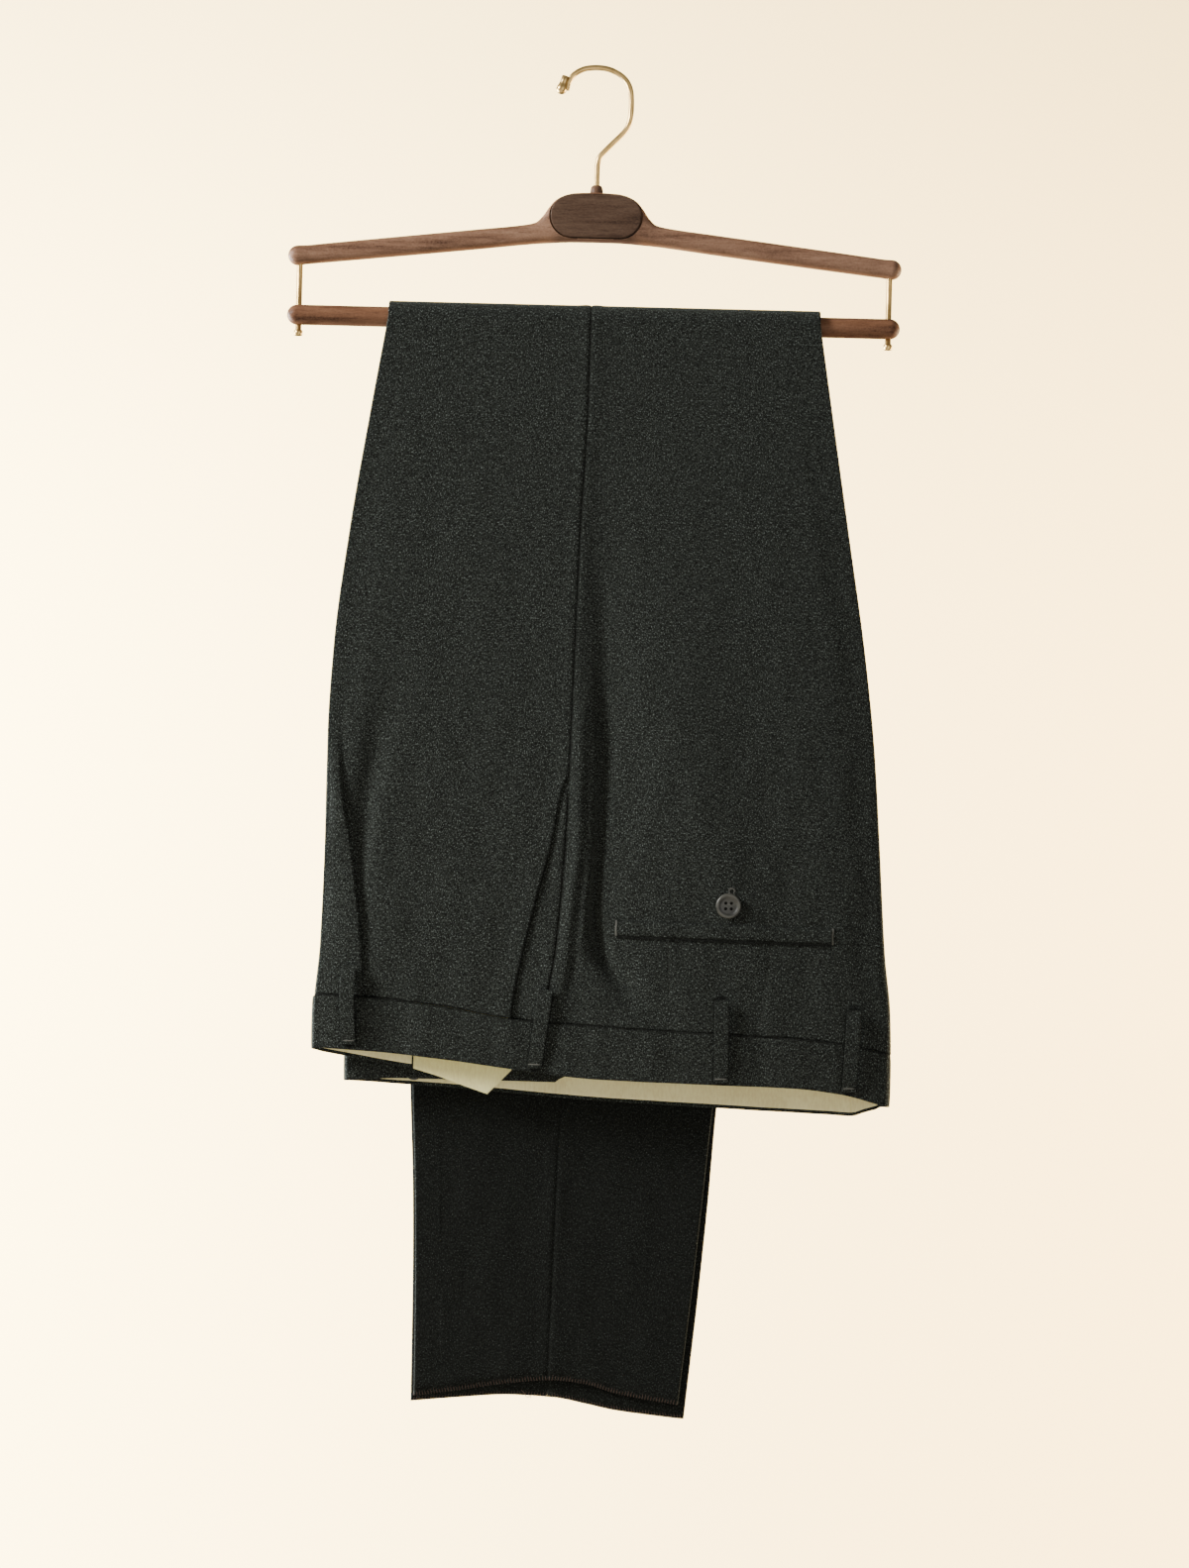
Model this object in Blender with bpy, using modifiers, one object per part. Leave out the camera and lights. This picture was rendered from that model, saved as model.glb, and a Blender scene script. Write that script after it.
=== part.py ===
"""Pleated dress trousers, folded over the bar of a wooden trouser hanger.

The frame has +X to the wearer's back, +Z up and -Y to the side that shows the right leg.
Its origin is the inner top of the hook, where the hanger rests on a rail. Every
table is in millimetres; a point becomes metres when its mesh is made.

The trousers hang with the legs laid on each other, so four layers of cloth pass over
the bar: the outer (lateral) and inner (medial) side of each leg. A layer runs from the
waist seam up the near drop, over the bar, and down the rear drop to the hem. A place
on it is a column across the cloth and a station along it, and its distance from the
upright plane through the bar is called its reach.
"""

from collections import namedtuple
from math import cos, pi, radians, sin

import bmesh
import bpy
import numpy as np

MM = 0.001
GAP = 0.3

# ---------------------------------------------------------------- cloth sizes
CLOTH = 0.8
BAND_WALL = 1.6
BAND_LIFT = 0.3
LINING_STEP = BAND_WALL / 2 + GAP + CLOTH / 2 + 0.05
LINING_RIM = 2.5
CREASE_RADIUS = 0.6

BAR_HEIGHT = -165.0
BAR_RADIUS = 6.6
BAR_LENGTH = 402.0

# Columns of the near drop, from the bar down to the waistband's edge.
NEAR_NAMES = ("height", "right_front", "seam", "right_back", "left_front", "left_back")
NEAR_FOLDS = (
    (-165, -133.7, -1.5, 148.2, -132.4, 146.9),
    (-225, -143.5, -2.0, 157.8, -142.3, 156.5),
    (-303, -155.3, -5.0, 170.4, -154.0, 168.7),
    (-381, -164.1, -6.7, 182.9, -162.2, 179.9),
    (-440, -166.6, -7.8, 190.1, -163.5, 186.8),
    (-497, -166.6, -9.0, 194.6, -161.5, 193.0),
    (-574, -168.0, -14.0, 200.1, -156.0, 197.2),
    (-613, -170.9, -19.4, 204.5, -152.4, 192.5),
    (-642, -171.5, -21.5, 205.4, -150.8, 187.5),
    (-681, -171.3, -23.5, 202.8, -149.9, 181.5),
)
# The same columns on the rear drop, from the bar down to the hem.
REAR_FOLDS = (
    (-165, -133.7, -1.5, 148.2, -132.4, 146.9),
    (-680, -107.3, -9.0, 93.4, -105.7, 90.9),
    (-740, -104.4, -10.4, 89.5, -102.8, 85.6),
    (-800, -103.1, -11.7, 84.7, -101.3, 80.2),
    (-885, -102.5, -13.6, 76.8, -100.4, 71.6),
)
HEM_NAMES = ("x", "left", "right")
HEMS = (
    (-102, -873.2, -877.2),
    (-70, -868.4, -874.0),
    (-38, -863.1, -871.6),
    (-8, -860.7, -872.8),
    (12, -862.7, -876.4),
    (32, -868.4, -880.3),
    (74, -875.2, -884.8),
)
# Medial edges of the panels below the fork: fly edges in front, seat seam behind.
FORK_NAMES = ("height", "right_front", "left_front", "back")
FORK_EDGES = (
    (-403, -7.0, -7.0, -7.0),
    (-412, -38.0, -30.0, 9.0),
    (-430, -72.0, -50.0, 27.0),
    (-450, -89.0, -57.0, 42.0),
    (-480, -100.0, -60.0, 75.0),
    (-512, -104.0, -61.0, 107.0),
    (-569, -106.0, -61.5, 153.0),
    (-626, -106.5, -62.0, 174.0),
    (-681, -106.5, -62.0, 181.0),
)
# Waist seam and lower edge of the waistband on each layer.
WAIST_NAMES = ("x", "seam", "edge")
WAIST = {
    "right_lateral": (
        (-171, -609.1, -643.9),
        (-139, -610.2, -645.2),
        (-85, -615.3, -649.7),
        (-42, -622.0, -654.6),
        (12, -625.3, -659.8),
        (77, -628.0, -661.4),
        (141, -630.3, -662.7),
        (173, -633.3, -666.1),
        (203, -639.0, -673.6),
    ),
    "right_medial": (
        (-171, -612.5, -646.1),
        (-150, -616.0, -649.5),
        (-106, -622.6, -656.2),
        (181, -648.0, -681.0),
        (190, -645.2, -678.2),
        (203, -641.0, -674.6),
    ),
    "left_lateral": (
        (-150, -633.0, -666.4),
        (-84, -636.0, -669.3),
        (12, -640.6, -675.7),
        (78, -642.4, -678.2),
        (143, -645.0, -680.3),
        (181, -648.0, -681.0),
    ),
    "left_medial": (
        (-150, -632.0, -665.8),
        (-111, -629.3, -663.6),
        (-8, -630.7, -663.7),
        (170, -648.0, -681.0),
        (181, -648.0, -681.0),
    ),
}
# Reach of each lateral layer at the waist; over the bar it is a constant.
REACH_OVER_BAR = {
    "left_lateral": 7.3,
    "left_medial": 8.4,
    "right_medial": 9.5,
    "right_lateral": 10.6,
}
# Swelling towards the waist: the power beside and away from a fold, and a fold's width.
SWELL_POWER, SWELL_AT_FOLD, FOLD_BESIDE = 1.7, 1.5, 25.0
# Heights at which the widths at the waist are read: the pleat and side seam, the folds,
# the fork, the band, and any place below the waist.
PLEAT_READ, TURN_READ, FORK_READ, BAND_READ, BELOW_WAIST = -620.0, -640.0, -648.0, -655.0, -700.0
REACH_NAMES = ("x", "reach")
WAIST_REACH = {
    "right_lateral": (
        (-171, 19.0),
        (-139, 19.5),
        (-80, 22.5),
        (-20, 25.0),
        (40, 27.5),
        (100, 27.0),
        (160, 24.0),
        (203, 19.8),
    ),
    "right_medial": ((-171, 12.5), (-100, 12.5), (100, 10.4), (203, 10.4)),
    "left_medial": ((-150, 6.5), (-60, 6.5), (20, 8.5), (186, 8.5)),
    "left_lateral": ((-150, -0.5), (90, -1.0), (140, 1.0), (165, 4.5), (178, 7.0), (196, 7.2)),
}
HEM_REACH = {
    "left_lateral": 7.6,
    "left_medial": 9.5,
    "right_medial": 11.6,
    "right_lateral": 13.8,
}

# The pleat's folded edge behind the front fold, how far its layers turn, and its depth.
PLEAT_NAMES = ("height", "right_edge", "left_edge", "turn", "depth")
PLEAT = (
    (-430, 5.1, 12.0, 0.0, 0.8),
    (-445, 6.2, 13.4, 15.0, 0.8),
    (-476, 9.6, 16.2, 95.0, 0.8),
    (-505, 15.2, 19.4, 180.0, 1.5),
    (-555, 23.5, 20.7, 180.0, 5.5),
    (-584, 27.7, 20.3, 180.0, 8.0),
    (-613, 31.1, 18.0, 180.0, 10.0),
)
PLEAT_BEND = pi * CREASE_RADIUS
PLEAT_BESIDE = 16.0

# The slanted side pocket: edge of the front panel from the pocket's end to the waist.
POCKET_NAMES = ("height", "edge")
POCKET = ((-455, 20.0), (-462, -9.3), (-511, -19.7), (-542, -27.5), (-597, -39.4), (-617, -42.4))
POCKET_TOP = -466.0
FACING_TUCK = 12.0
FACING_SIDE_GAP = 0.6
# How deep a facing lies under the panel: behind its edge, halfway and at the side seam.
FACING_DEPTHS = (1.5, 0.9, 0.35)
FACING_BEFORE, FACING_PAST = 3.0, 0.4
FACING_STATIONS = (0, 0.25, 0.5, 0.7, 0.85, 1)

# Soft folds of the outer side: centre, height out of the cloth, and width to each side.
FOLD_NAMES = ("height", "centre", "rise", "front_width", "back_width")
SOFT_FOLDS = (
    (
        (-300, 10.0, 0.0, 14.0, 20.0),
        (-400, 15.0, -1.2, 12.0, 18.0),
        (-444, 16.6, -2.6, 9.0, 15.0),
        (-497, 11.5, -4.2, 6.0, 13.0),
        (-555, 10.7, -5.6, 5.0, 12.0),
        (-591, 22.8, -4.6, 7.0, 12.0),
        (-610, 36.0, -2.2, 10.0, 12.0),
        (-624, 42.0, 0.0, 12.0, 14.0),
    ),
    (
        (-440, 5.0, 0.0, 4.0, 4.0),
        (-502, 3.6, 1.3, 4.0, 4.5),
        (-564, -0.5, 1.7, 4.0, 4.5),
        (-600, -5.0, 1.0, 5.0, 5.0),
        (-618, -8.0, 0.0, 5.0, 5.0),
    ),
    (
        (-400, -126.0, 0.0, 14.0, 16.0),
        (-450, -131.0, -1.8, 12.0, 16.0),
        (-530, -138.0, -2.2, 8.0, 14.0),
        (-600, -134.0, 0.0, 8.0, 14.0),
    ),
)
FOLD_STRENGTH = {"right": 1.0, "left": 0.3}

# Stations: shares of the near drop, angles over the bar, and shares of the rear drop.
NEAR_STATIONS = (1, 0.955, 0.91, 0.855, 0.79, 0.725, 0.665, 0.6, 0.545, 0.523, 0.38, 0.18)
OVER_STATIONS = (0, 30, 60, 90, 120, 150, 180)
REAR_STATIONS = (0.35, 0.7, 0.82, 1)
FRONT_COLUMNS = (0, 0.1, 0.25, 0.45, 0.65, 0.85, 1)
BACK_COLUMNS = (0, 0.05, 0.1, 0.15, 0.22, 0.35, 0.5, 0.66, 0.8, 0.92, 1)
MEDIAL_COLUMNS = (0, 0.12, 0.4, 0.7, 1)
FOLD_ANGLES = (45, 90, 135)

# ---------------------------------------------------------------- trimmings
WELT_WALL = 0.9
WELT_FRONT, WELT_BACK = 25.3, 164.8
WELT_HEIGHT = 9.8
WELT_NEAR_SEAT = {"right": -556.6, "left": -571.0}
WELT_SLOPE = -0.016
POCKET_BUTTON_RADIUS = 8.3
POCKET_BUTTON = {"right": (97.2, -545.2), "left": (97.2, -559.4)}
INNER_BUTTON_RADIUS = 5.6
INNER_BUTTON = (-105.4, -659.4)

LOOP_WIDTH = 9.2
LOOP_CLEAR = 0.35
LOOP_WALL = 1.4
LOOP_STATIONS = (0, 0.08, 0.25, 0.5, 0.75, 0.92, 1)
BeltLoop = namedtuple("BeltLoop", "name layer top_x top bottom_x bottom bow")
BELT_LOOPS = (
    BeltLoop("right_front", "right_lateral", -147.6, -589.6, -147.4, -641.2, 2.6),
    BeltLoop("right_side", "right_lateral", -20.0, -602.6, -26.4, -653.6, 2.2),
    BeltLoop("right_back", "right_lateral", 94.2, -606.2, 94.8, -660.0, 1.8),
    BeltLoop("right_seat", "right_lateral", 180.6, -611.2, 178.2, -664.4, 2.6),
    BeltLoop("left_seat", "left_lateral", 133.0, -623.0, 133.0, -675.4, 1.2),
    BeltLoop("left_back", "left_lateral", 48.0, -620.0, 48.0, -672.6, 1.2),
    BeltLoop("left_side", "left_lateral", -70.0, -615.0, -70.0, -667.6, 1.2),
    BeltLoop("left_front", "left_medial", -104.0, -609.0, -104.0, -659.6, 1.0),
)

SEAT_SEAM = 181.0
SEAT_CLOSING = 2.8
SEAT_BESIDE = 16.0
BAND_TOP_DROP = GAP / 2 + 0.05
FLY_EDGE = -106.5
AROUND_FOLD = 8.0
SHIELD_NAMES = ("height", "edge")
SHIELD_EDGE = ((-512, -84.0), (-560, -62.0), (-620, -45.0), (-656.4, -41.4), (-673, -41.4))
SHIELD_TOP = -512.0
SHIELD_GAP = 0.9
SHIELD_TIP = ((0, -656.7), (0.26, -661.4), (0.5, -666.8), (0.76, -672.3), (1, -656.4))
TAB_END = (-5.0, -12.8)

# ---------------------------------------------------------------- hanger sizes
# Distance from the middle, top, bottom, half depth and squareness of each section.
BODY_SECTIONS = (
    (0.0, -80.5, -112.8, 8.5, 4.0),
    (14.0, -81.2, -112.9, 8.5, 4.0),
    (21.0, -82.9, -113.2, 8.4, 3.8),
    (26.5, -85.9, -113.6, 8.1, 3.6),
    (31.0, -91.0, -114.0, 7.6, 3.2),
    (35.0, -96.8, -114.3, 7.0, 2.8),
    (39.5, -100.9, -114.7, 6.6, 2.6),
    (46.0, -102.5, -115.4, 6.3, 2.5),
    (80.0, -106.6, -119.5, 6.0, 2.4),
    (130.0, -112.4, -125.2, 5.8, 2.3),
    (176.0, -117.8, -130.3, 5.6, 2.2),
    (187.5, -119.1, -131.6, 5.7, 2.1),
)
BALL = (194.7, -126.1, 6.5)
BALL_ANGLES = (0, 30, 55, 75, 86)
BODY_SIDES = 14
PLATE_LENGTH, PLATE_WIDTH = 59.9, 28.3
PLATE_HEIGHT = -96.5
PLATE_BACK, PLATE_FRONT = -6.0, -8.1
ROD_PLACE = 193.4
ROD_RADIUS = 1.9
ROD_TOP, ROD_BOTTOM = -122.5, -174.6
KNOB_RADIUS, KNOB_BOTTOM = 2.8, -178.9
WIRE_RADIUS = 1.75
HOOK_END = -90.0
HOOK_ROUTE = (
    (-19.6, -5.2),
    (-16.3, -2.3),
    (-10.7, 0.6),
    (-4.7, 1.75),
    (1.7, 1.75),
    (7.9, 0.4),
    (14.2, -2.9),
    (18.3, -7.0),
    (20.7, -12.5),
    (21.4, -19.0),
    (21.4, -25.7),
    (20.7, -32.0),
    (18.9, -37.4),
    (15.2, -42.1),
    (10.1, -47.2),
    (4.9, -52.6),
    (1.4, -56.8),
    (0.3, -61.0),
    (0.0, -66.0),
    (0.0, HOOK_END),
)
TIP_PLACE = (-24.6, -12.6)
TIP_LEAN = 17.0
TIP_PROFILE = ((2.0, 8.8), (2.1, 3.6), (3.0, 2.1), (3.6, 0.0), (3.1, -1.8), (1.9, -3.1))
TIP_BOTTOM = -3.6
SOCKET_LOW, HOOK_SOCKET_TOP = -140.0, -70.0
RECESS_FRONT = -20.0
COLLAR = ((3.0, -75.6), (3.7, -76.6), (4.1, -78.4), (4.2, -80.2))
BORE_REACH = 12.0

# ---------------------------------------------------------------- colours
Finish = namedtuple("Finish", "colour roughness metallic")
FLANNEL = Finish((0.022, 0.026, 0.024), 0.95, 0.0)
LINING = Finish((0.62, 0.55, 0.40), 0.7, 0.0)
HORN = Finish((0.060, 0.052, 0.044), 0.35, 0.0)
WOOD = Finish((0.13, 0.070, 0.044), 0.5, 0.0)
PLATE = Finish((0.10, 0.060, 0.042), 0.4, 0.0)
BRASS = Finish((0.60, 0.42, 0.16), 0.25, 1.0)


def read(rows, names, column, at):
    """The named column of a table where its first column, falling or rising, is at."""
    table = sorted(rows)
    keys = [row[0] for row in table]
    values = [row[names.index(column)] for row in table]
    return float(np.interp(at, keys, values))


def ease(share):
    share = min(max(share, 0.0), 1.0)
    return share * share * (3 - 2 * share)


# ---------------------------------------------------------------- cloth surfaces
def waist(layer, x, line="seam"):
    return read(WAIST[layer], WAIST_NAMES, line, x)


def near_height(layer, x, share):
    """Height of a column that ends at x on the waist seam, at a share of the near drop."""
    end = waist(layer, x) + GAP / 2
    return BAR_HEIGHT + (end - BAR_HEIGHT) * share


def soft_fold(side, x, height):
    """Sum of the soft folds, each a smooth bump with its own width in front and behind."""
    rise = 0.0
    for rows in SOFT_FOLDS:
        at = [read(rows, FOLD_NAMES, name, height) for name in FOLD_NAMES[1:]]
        centre, top, front, back = at
        width = front if x < centre else back
        rise += top * np.exp(-(((x - centre) / width) ** 2))
    return rise * FOLD_STRENGTH[side]


def reach(layer, x, height):
    """Distance of a layer's middle surface from the upright plane through the bar.

    It leaves the bar as a flat sheet and swells towards the waist with a power of the
    share of the drop: 1.7 in the middle of the cloth and up to 3.2 beside its folds.
    """
    start = REACH_OVER_BAR[layer]
    end = read(WAIST_REACH[layer], REACH_NAMES, "reach", x)
    share = min(max((BAR_HEIGHT - height) / (BAR_HEIGHT - waist(layer, x)), 0.0), 1.0)
    side, part = layer.split("_")
    front = read(NEAR_FOLDS, NEAR_NAMES, side + "_front", height)
    back = read(NEAR_FOLDS, NEAR_NAMES, side + "_back", height)
    near_fold = ease(1 - min(x - front, back - x) / FOLD_BESIDE)
    value = start + (end - start) * share ** (SWELL_POWER + SWELL_AT_FOLD * near_fold)
    if part == "lateral":
        out = 1 if side == "right" else -1
        value += out * soft_fold(side, x, height) * (1 - near_fold)
    return value


def fold_arc(edge, lateral, medial, inward):
    """Points of the half turn between two layers, whose outermost point is at edge."""
    radius = (lateral - medial) / 2
    size = abs(radius)
    return [
        (edge + inward * size * (1 - sin(radians(angle))), medial + radius * (1 + cos(radians(angle))))
        for angle in FOLD_ANGLES
    ]


def pleat_bends(side, height):
    """Steps (dx, drop) along the pleat, from its top layer to the cloth underneath."""
    turn = radians(read(PLEAT, PLEAT_NAMES, "turn", height))
    depth = read(PLEAT, PLEAT_NAMES, "depth", height)
    bend = [(PLEAT_BEND / 3, turn * share) for share in (1 / 6, 1 / 2, 5 / 6)]
    steps = bend + [(depth, turn)] + bend[::-1]
    return [(length * cos(angle), length * sin(angle)) for length, angle in steps]


def front_edge(height, side_seam):
    """Edge of the front panel beside the side seam, cut back along the pocket."""
    return min(side_seam - GAP / 2, read(POCKET, POCKET_NAMES, "edge", height))


def pleat_edge(side, height):
    """The x of the pleat's folded edge, measured from the fold in front of it."""
    fold = read(NEAR_FOLDS, NEAR_NAMES, side + "_front", height)
    return fold + read(PLEAT, PLEAT_NAMES, side + "_edge", height)


def waist_turn(side, part):
    """Where the lateral cloth starts its half turn at the waist: the fold less the radius."""
    edge = read(NEAR_FOLDS, NEAR_NAMES, side + "_" + part, TURN_READ)
    ends = [reach(f"{side}_{name}", edge, BELOW_WAIST) for name in ("lateral", "medial")]
    lift = pleat_lift(side, edge) if part == "front" else 0.0
    return edge + (1 if part == "front" else -1) * (abs(ends[0] - ends[1]) + lift) / 2


def pleat_lift(side, x):
    """How far the three layers of the pleat push the band out in front of its edge."""
    lift = sum(drop for _, drop in pleat_bends(side, PLEAT_READ))
    return lift * (1 - ease((x - pleat_edge(side, PLEAT_READ)) / PLEAT_BESIDE))


def near_section(side, part, share):
    """Middle line (x, reach, height) of one panel, from its side seam to its medial edge."""
    lateral, medial = side + "_lateral", side + "_medial"
    out = 1 if side == "right" else -1
    front = part == "front"
    inward = 1 if front else -1
    fold_name = side + "_" + part

    def fold(height):
        return read(NEAR_FOLDS, NEAR_NAMES, fold_name, height)

    def seam(height):
        return read(NEAR_FOLDS, NEAR_NAMES, "seam", height)

    # Heights at the fold, where the two layers meet.
    turn_x = waist_turn(side, part)
    high = near_height(lateral, turn_x, share)
    low = near_height(medial, turn_x, share)
    edge = fold(high)
    lift = 0.0
    steps = []
    if front:
        steps = pleat_bends(side, high)
        lift = sum(drop for _, drop in steps)
    lateral_end = reach(lateral, edge, high) + out * lift
    medial_end = reach(medial, edge, low)
    radius = abs(lateral_end - medial_end) / 2

    line = []
    # The pleat, walked from its top layer down, then the cloth on to the side seam.
    if front:
        x = pleat_edge(side, high) - CREASE_RADIUS
        level = lift
        pleat = [(x, level)]
        for dx, drop in steps:
            x += dx
            level -= drop
            pleat.append((x, level))
        start = pleat[-1][0]
    columns = FRONT_COLUMNS if front else BACK_COLUMNS
    for column in columns:
        if front:
            end_x = front_edge(PLEAT_READ, seam(PLEAT_READ)) * (1 - column) + start * column
        else:
            end_x = seam(PLEAT_READ) * (1 - column) + turn_x * column
        height = near_height(lateral, end_x, share)
        if front:
            near, far = front_edge(height, seam(height)), start
        else:
            near, far = seam(height) + GAP / 2, fold(height) - radius
        x = near * (1 - column) + far * column
        line.append((x, reach(lateral, x, height), height))
    if front:
        base = line[-1][1]
        for x, level in pleat[-2::-1]:
            height = near_height(lateral, x, share)
            line.append((x, base + out * level, height))
        line.append((edge + radius, lateral_end, high))
    for index, (x, at) in enumerate(fold_arc(edge, lateral_end, medial_end, inward)):
        height = high + (low - high) * (index + 1) / (len(FOLD_ANGLES) + 1)
        line.append((x, at, height))
    for column in MEDIAL_COLUMNS:
        fork_name = fold_name if front else "back"
        last = read(FORK_EDGES, FORK_NAMES, fork_name, FORK_READ)
        end_x = turn_x * (1 - column) + last * column
        height = near_height(medial, end_x, share)
        near = edge + inward * radius
        far = min(read(FORK_EDGES, FORK_NAMES, fork_name, height), seam(height) - GAP / 2)
        if not front:
            far = max(read(FORK_EDGES, FORK_NAMES, fork_name, height), seam(height) + GAP / 2)
        x = near * (1 - column) + far * column
        at = medial_end * (1 - ease(column * 3)) + reach(medial, x, height) * ease(column * 3)
        line.append((x, at, height))
    return line


def flat_section(side, part, folds, reaches, height_of):
    """Middle line of a panel where its leg is flat: over the bar and on the rear drop."""
    lateral, medial = reaches
    front = part == "front"
    inward = 1 if front else -1
    radius = abs(lateral - medial) / 2

    def along(name, x_guess):
        return read(folds, NEAR_NAMES, name, height_of(x_guess))

    edge = along(side + "_" + part, -100 if front else 70)
    seam = along("seam", -10)
    near = seam - inward * GAP / 2
    crown = edge + inward * radius
    if front:
        last = edge + PLEAT[0][PLEAT_NAMES.index(side + "_edge")] - CREASE_RADIUS
        pleat = [dx for dx, _ in pleat_bends(side, BAR_HEIGHT)]
        start = last + sum(pleat)
        xs = [near * (1 - column) + start * column for column in FRONT_COLUMNS]
        xs += [last + sum(pleat[:count]) for count in range(len(pleat) - 1, -1, -1)]
        xs.append(crown)
    else:
        xs = [near * (1 - column) + crown * column for column in BACK_COLUMNS]
    line = [(x, lateral) for x in xs]
    line += fold_arc(edge, lateral, medial, inward)
    line += [(crown * (1 - column) + near * column, medial) for column in MEDIAL_COLUMNS]
    return [(x, at, height_of(x)) for x, at in line]


def panel_grid(side, part):
    """Rows of points of one leg panel, from the waist seam over the bar to the hem."""
    names = (side + "_lateral", side + "_medial")
    rows = []
    for share in NEAR_STATIONS:
        rows.append([(x, -at, height) for x, at, height in near_section(side, part, share)])
    over = [REACH_OVER_BAR[name] for name in names]
    for angle in OVER_STATIONS:
        turn = radians(angle)
        line = flat_section(side, part, NEAR_FOLDS, over, lambda x: BAR_HEIGHT)
        rows.append([(x, -at * cos(turn), BAR_HEIGHT + at * sin(turn)) for x, at, _ in line])
    for share in REAR_STATIONS:
        ends = [HEM_REACH[name] for name in names]
        at = [a * (1 - share) + b * share for a, b in zip(over, ends)]

        def height_of(x):
            return BAR_HEIGHT + (read(HEMS, HEM_NAMES, side, x) - BAR_HEIGHT) * share

        rows.append(flat_section(side, part, REAR_FOLDS, at, height_of))
    return rows


def skin(side, x, height):
    """Reach of the side's outer panels at a place, read off their flat faces."""
    layer = side + "_lateral"
    share = (BAR_HEIGHT - height) / (BAR_HEIGHT - waist(layer, x))
    stations = sorted(NEAR_STATIONS)
    share = min(max(share, stations[0]), 1.0)
    above = max(index for index, value in enumerate(stations[:-1]) if value <= share)
    pair = stations[above], stations[above + 1]
    part = "front" if x < read(NEAR_FOLDS, NEAR_NAMES, "seam", height) else "back"
    count = len(FRONT_COLUMNS) if part == "front" else len(BACK_COLUMNS)
    levels = []
    for station in pair:
        line = sorted(near_section(side, part, station)[:count])
        levels.append(np.interp(x, [point[0] for point in line], [point[1] for point in line]))
    mix = (share - pair[0]) / (pair[1] - pair[0])
    return float(levels[0] * (1 - mix) + levels[1] * mix)


# ---------------------------------------------------------------- waistbands
def band_reach(layer, x):
    """Reach of a band's middle surface: the cloth's, moved out to cover its edge."""
    side, part = layer.split("_")
    out = 1 if side == "right" else -1
    if part == "medial":
        return reach(layer, x, BELOW_WAIST) - out * BAND_LIFT
    closing = 0.0
    if side == "left":
        closing = SEAT_CLOSING * ease((x - SEAT_SEAM) / SEAT_BESIDE + 1)
    return reach(layer, x, BELOW_WAIST) + out * (BAND_LIFT + pleat_lift(side, x)) + closing


def band_columns(side):
    """The x of each lateral column of a side's panels at the waist seam, front to back."""
    front = [point[0] for point in near_section(side, "front", 1)[: len(FRONT_COLUMNS)]]
    back = [point[0] for point in near_section(side, "back", 1)[: len(BACK_COLUMNS)]]
    return front[::-1] + [back[0] - GAP] + back[1:-1]


def band_run(layer, columns):
    """Path (x, reach, seam, edge) of a band along one layer."""
    line = []
    for x in columns:
        line.append((x, band_reach(layer, x), waist(layer, x), waist(layer, x, "edge")))
    return line


def band_turn(side, part):
    """Half turn of a band round its fold, with its heights run from one layer to the other."""
    edge = read(NEAR_FOLDS, NEAR_NAMES, side + "_" + part, BAND_READ)
    lateral, medial = side + "_lateral", side + "_medial"
    inward = 1 if part == "front" else -1
    ends = band_reach(lateral, edge), band_reach(medial, edge)
    radius = abs(ends[0] - ends[1]) / 2
    start = waist_turn(side, part)
    turn = []
    for angle in (0, *FOLD_ANGLES, 180):
        mix = angle / 180
        x = edge + inward * radius * (1 - sin(radians(angle)))
        at = ends[1] + (ends[0] - ends[1]) * (1 + cos(radians(angle))) / 2
        seam = waist(lateral, start) * (1 - mix) + waist(medial, start) * mix
        rim = waist(lateral, edge, "edge") * (1 - mix) + waist(medial, edge, "edge") * mix
        turn.append((x, at, seam, rim))
    return turn


def right_band_line():
    """Path of the right waistband, from the fly edge to the seat seam."""
    front = band_turn("right", "front")
    back = band_turn("right", "back")
    columns = [x for x in band_columns("right") if front[0][0] + 3 < x < back[0][0] - 3]
    line = band_run("right_medial", np.linspace(FLY_EDGE, front[-1][0] + AROUND_FOLD, 5))
    line += front[::-1] + band_run("right_lateral", columns) + back
    line += band_run("right_medial", (back[-1][0] - 6, SEAT_SEAM + GAP / 2))
    return line


def left_band_line():
    """Path of the left waistband, from the seat seam to the end of its overlap tab."""
    front = band_turn("left", "front")
    columns = [x for x in band_columns("left")[::-1] if front[0][0] + 3 < x < SEAT_SEAM - 3]
    line = band_run("left_lateral", [SEAT_SEAM - GAP / 2, *columns]) + front
    line += band_run("left_medial", np.linspace(front[-1][0] + AROUND_FOLD, TAB_END[0], 8))
    return line


def beside(line, step):
    """The path moved sideways in plan by a step, to the left of its direction."""
    points = np.array([row[:2] for row in line])
    run = np.gradient(points, axis=0)
    run /= np.linalg.norm(run, axis=1)[:, None]
    moved = points + step * np.column_stack([-run[:, 1], run[:, 0]])
    return [(x, at, seam, rim) for (x, at), (_, _, seam, rim) in zip(moved, line)]


def band_grid(line, top_drop, rim_rise, slant=0.0):
    """The upper and lower row of points of a band."""
    rows = []
    for share in (0, 1):
        row = []
        for x, at, seam, rim in line:
            top, bottom = seam - top_drop, rim + rim_rise
            row.append((x, -at, top + (bottom - top) * share))
        x, y, height = row[-1]
        row[-1] = (x + slant * share, y, height)
        rows.append(row)
    return rows


# ---------------------------------------------------------------- making objects
def material(name, finish):
    made = bpy.data.materials.new(name)
    made.use_nodes = True
    shader = made.node_tree.nodes["Principled BSDF"]
    shader.inputs["Base Color"].default_value = (*finish.colour, 1)
    shader.inputs["Roughness"].default_value = finish.roughness
    shader.inputs["Metallic"].default_value = finish.metallic
    return made


def add_object(name, mesh, finish, collection):
    made = bpy.data.objects.new(name, mesh)
    if finish:
        mesh.materials.append(material(name, finish))
    collection.objects.link(made)
    return made


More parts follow.
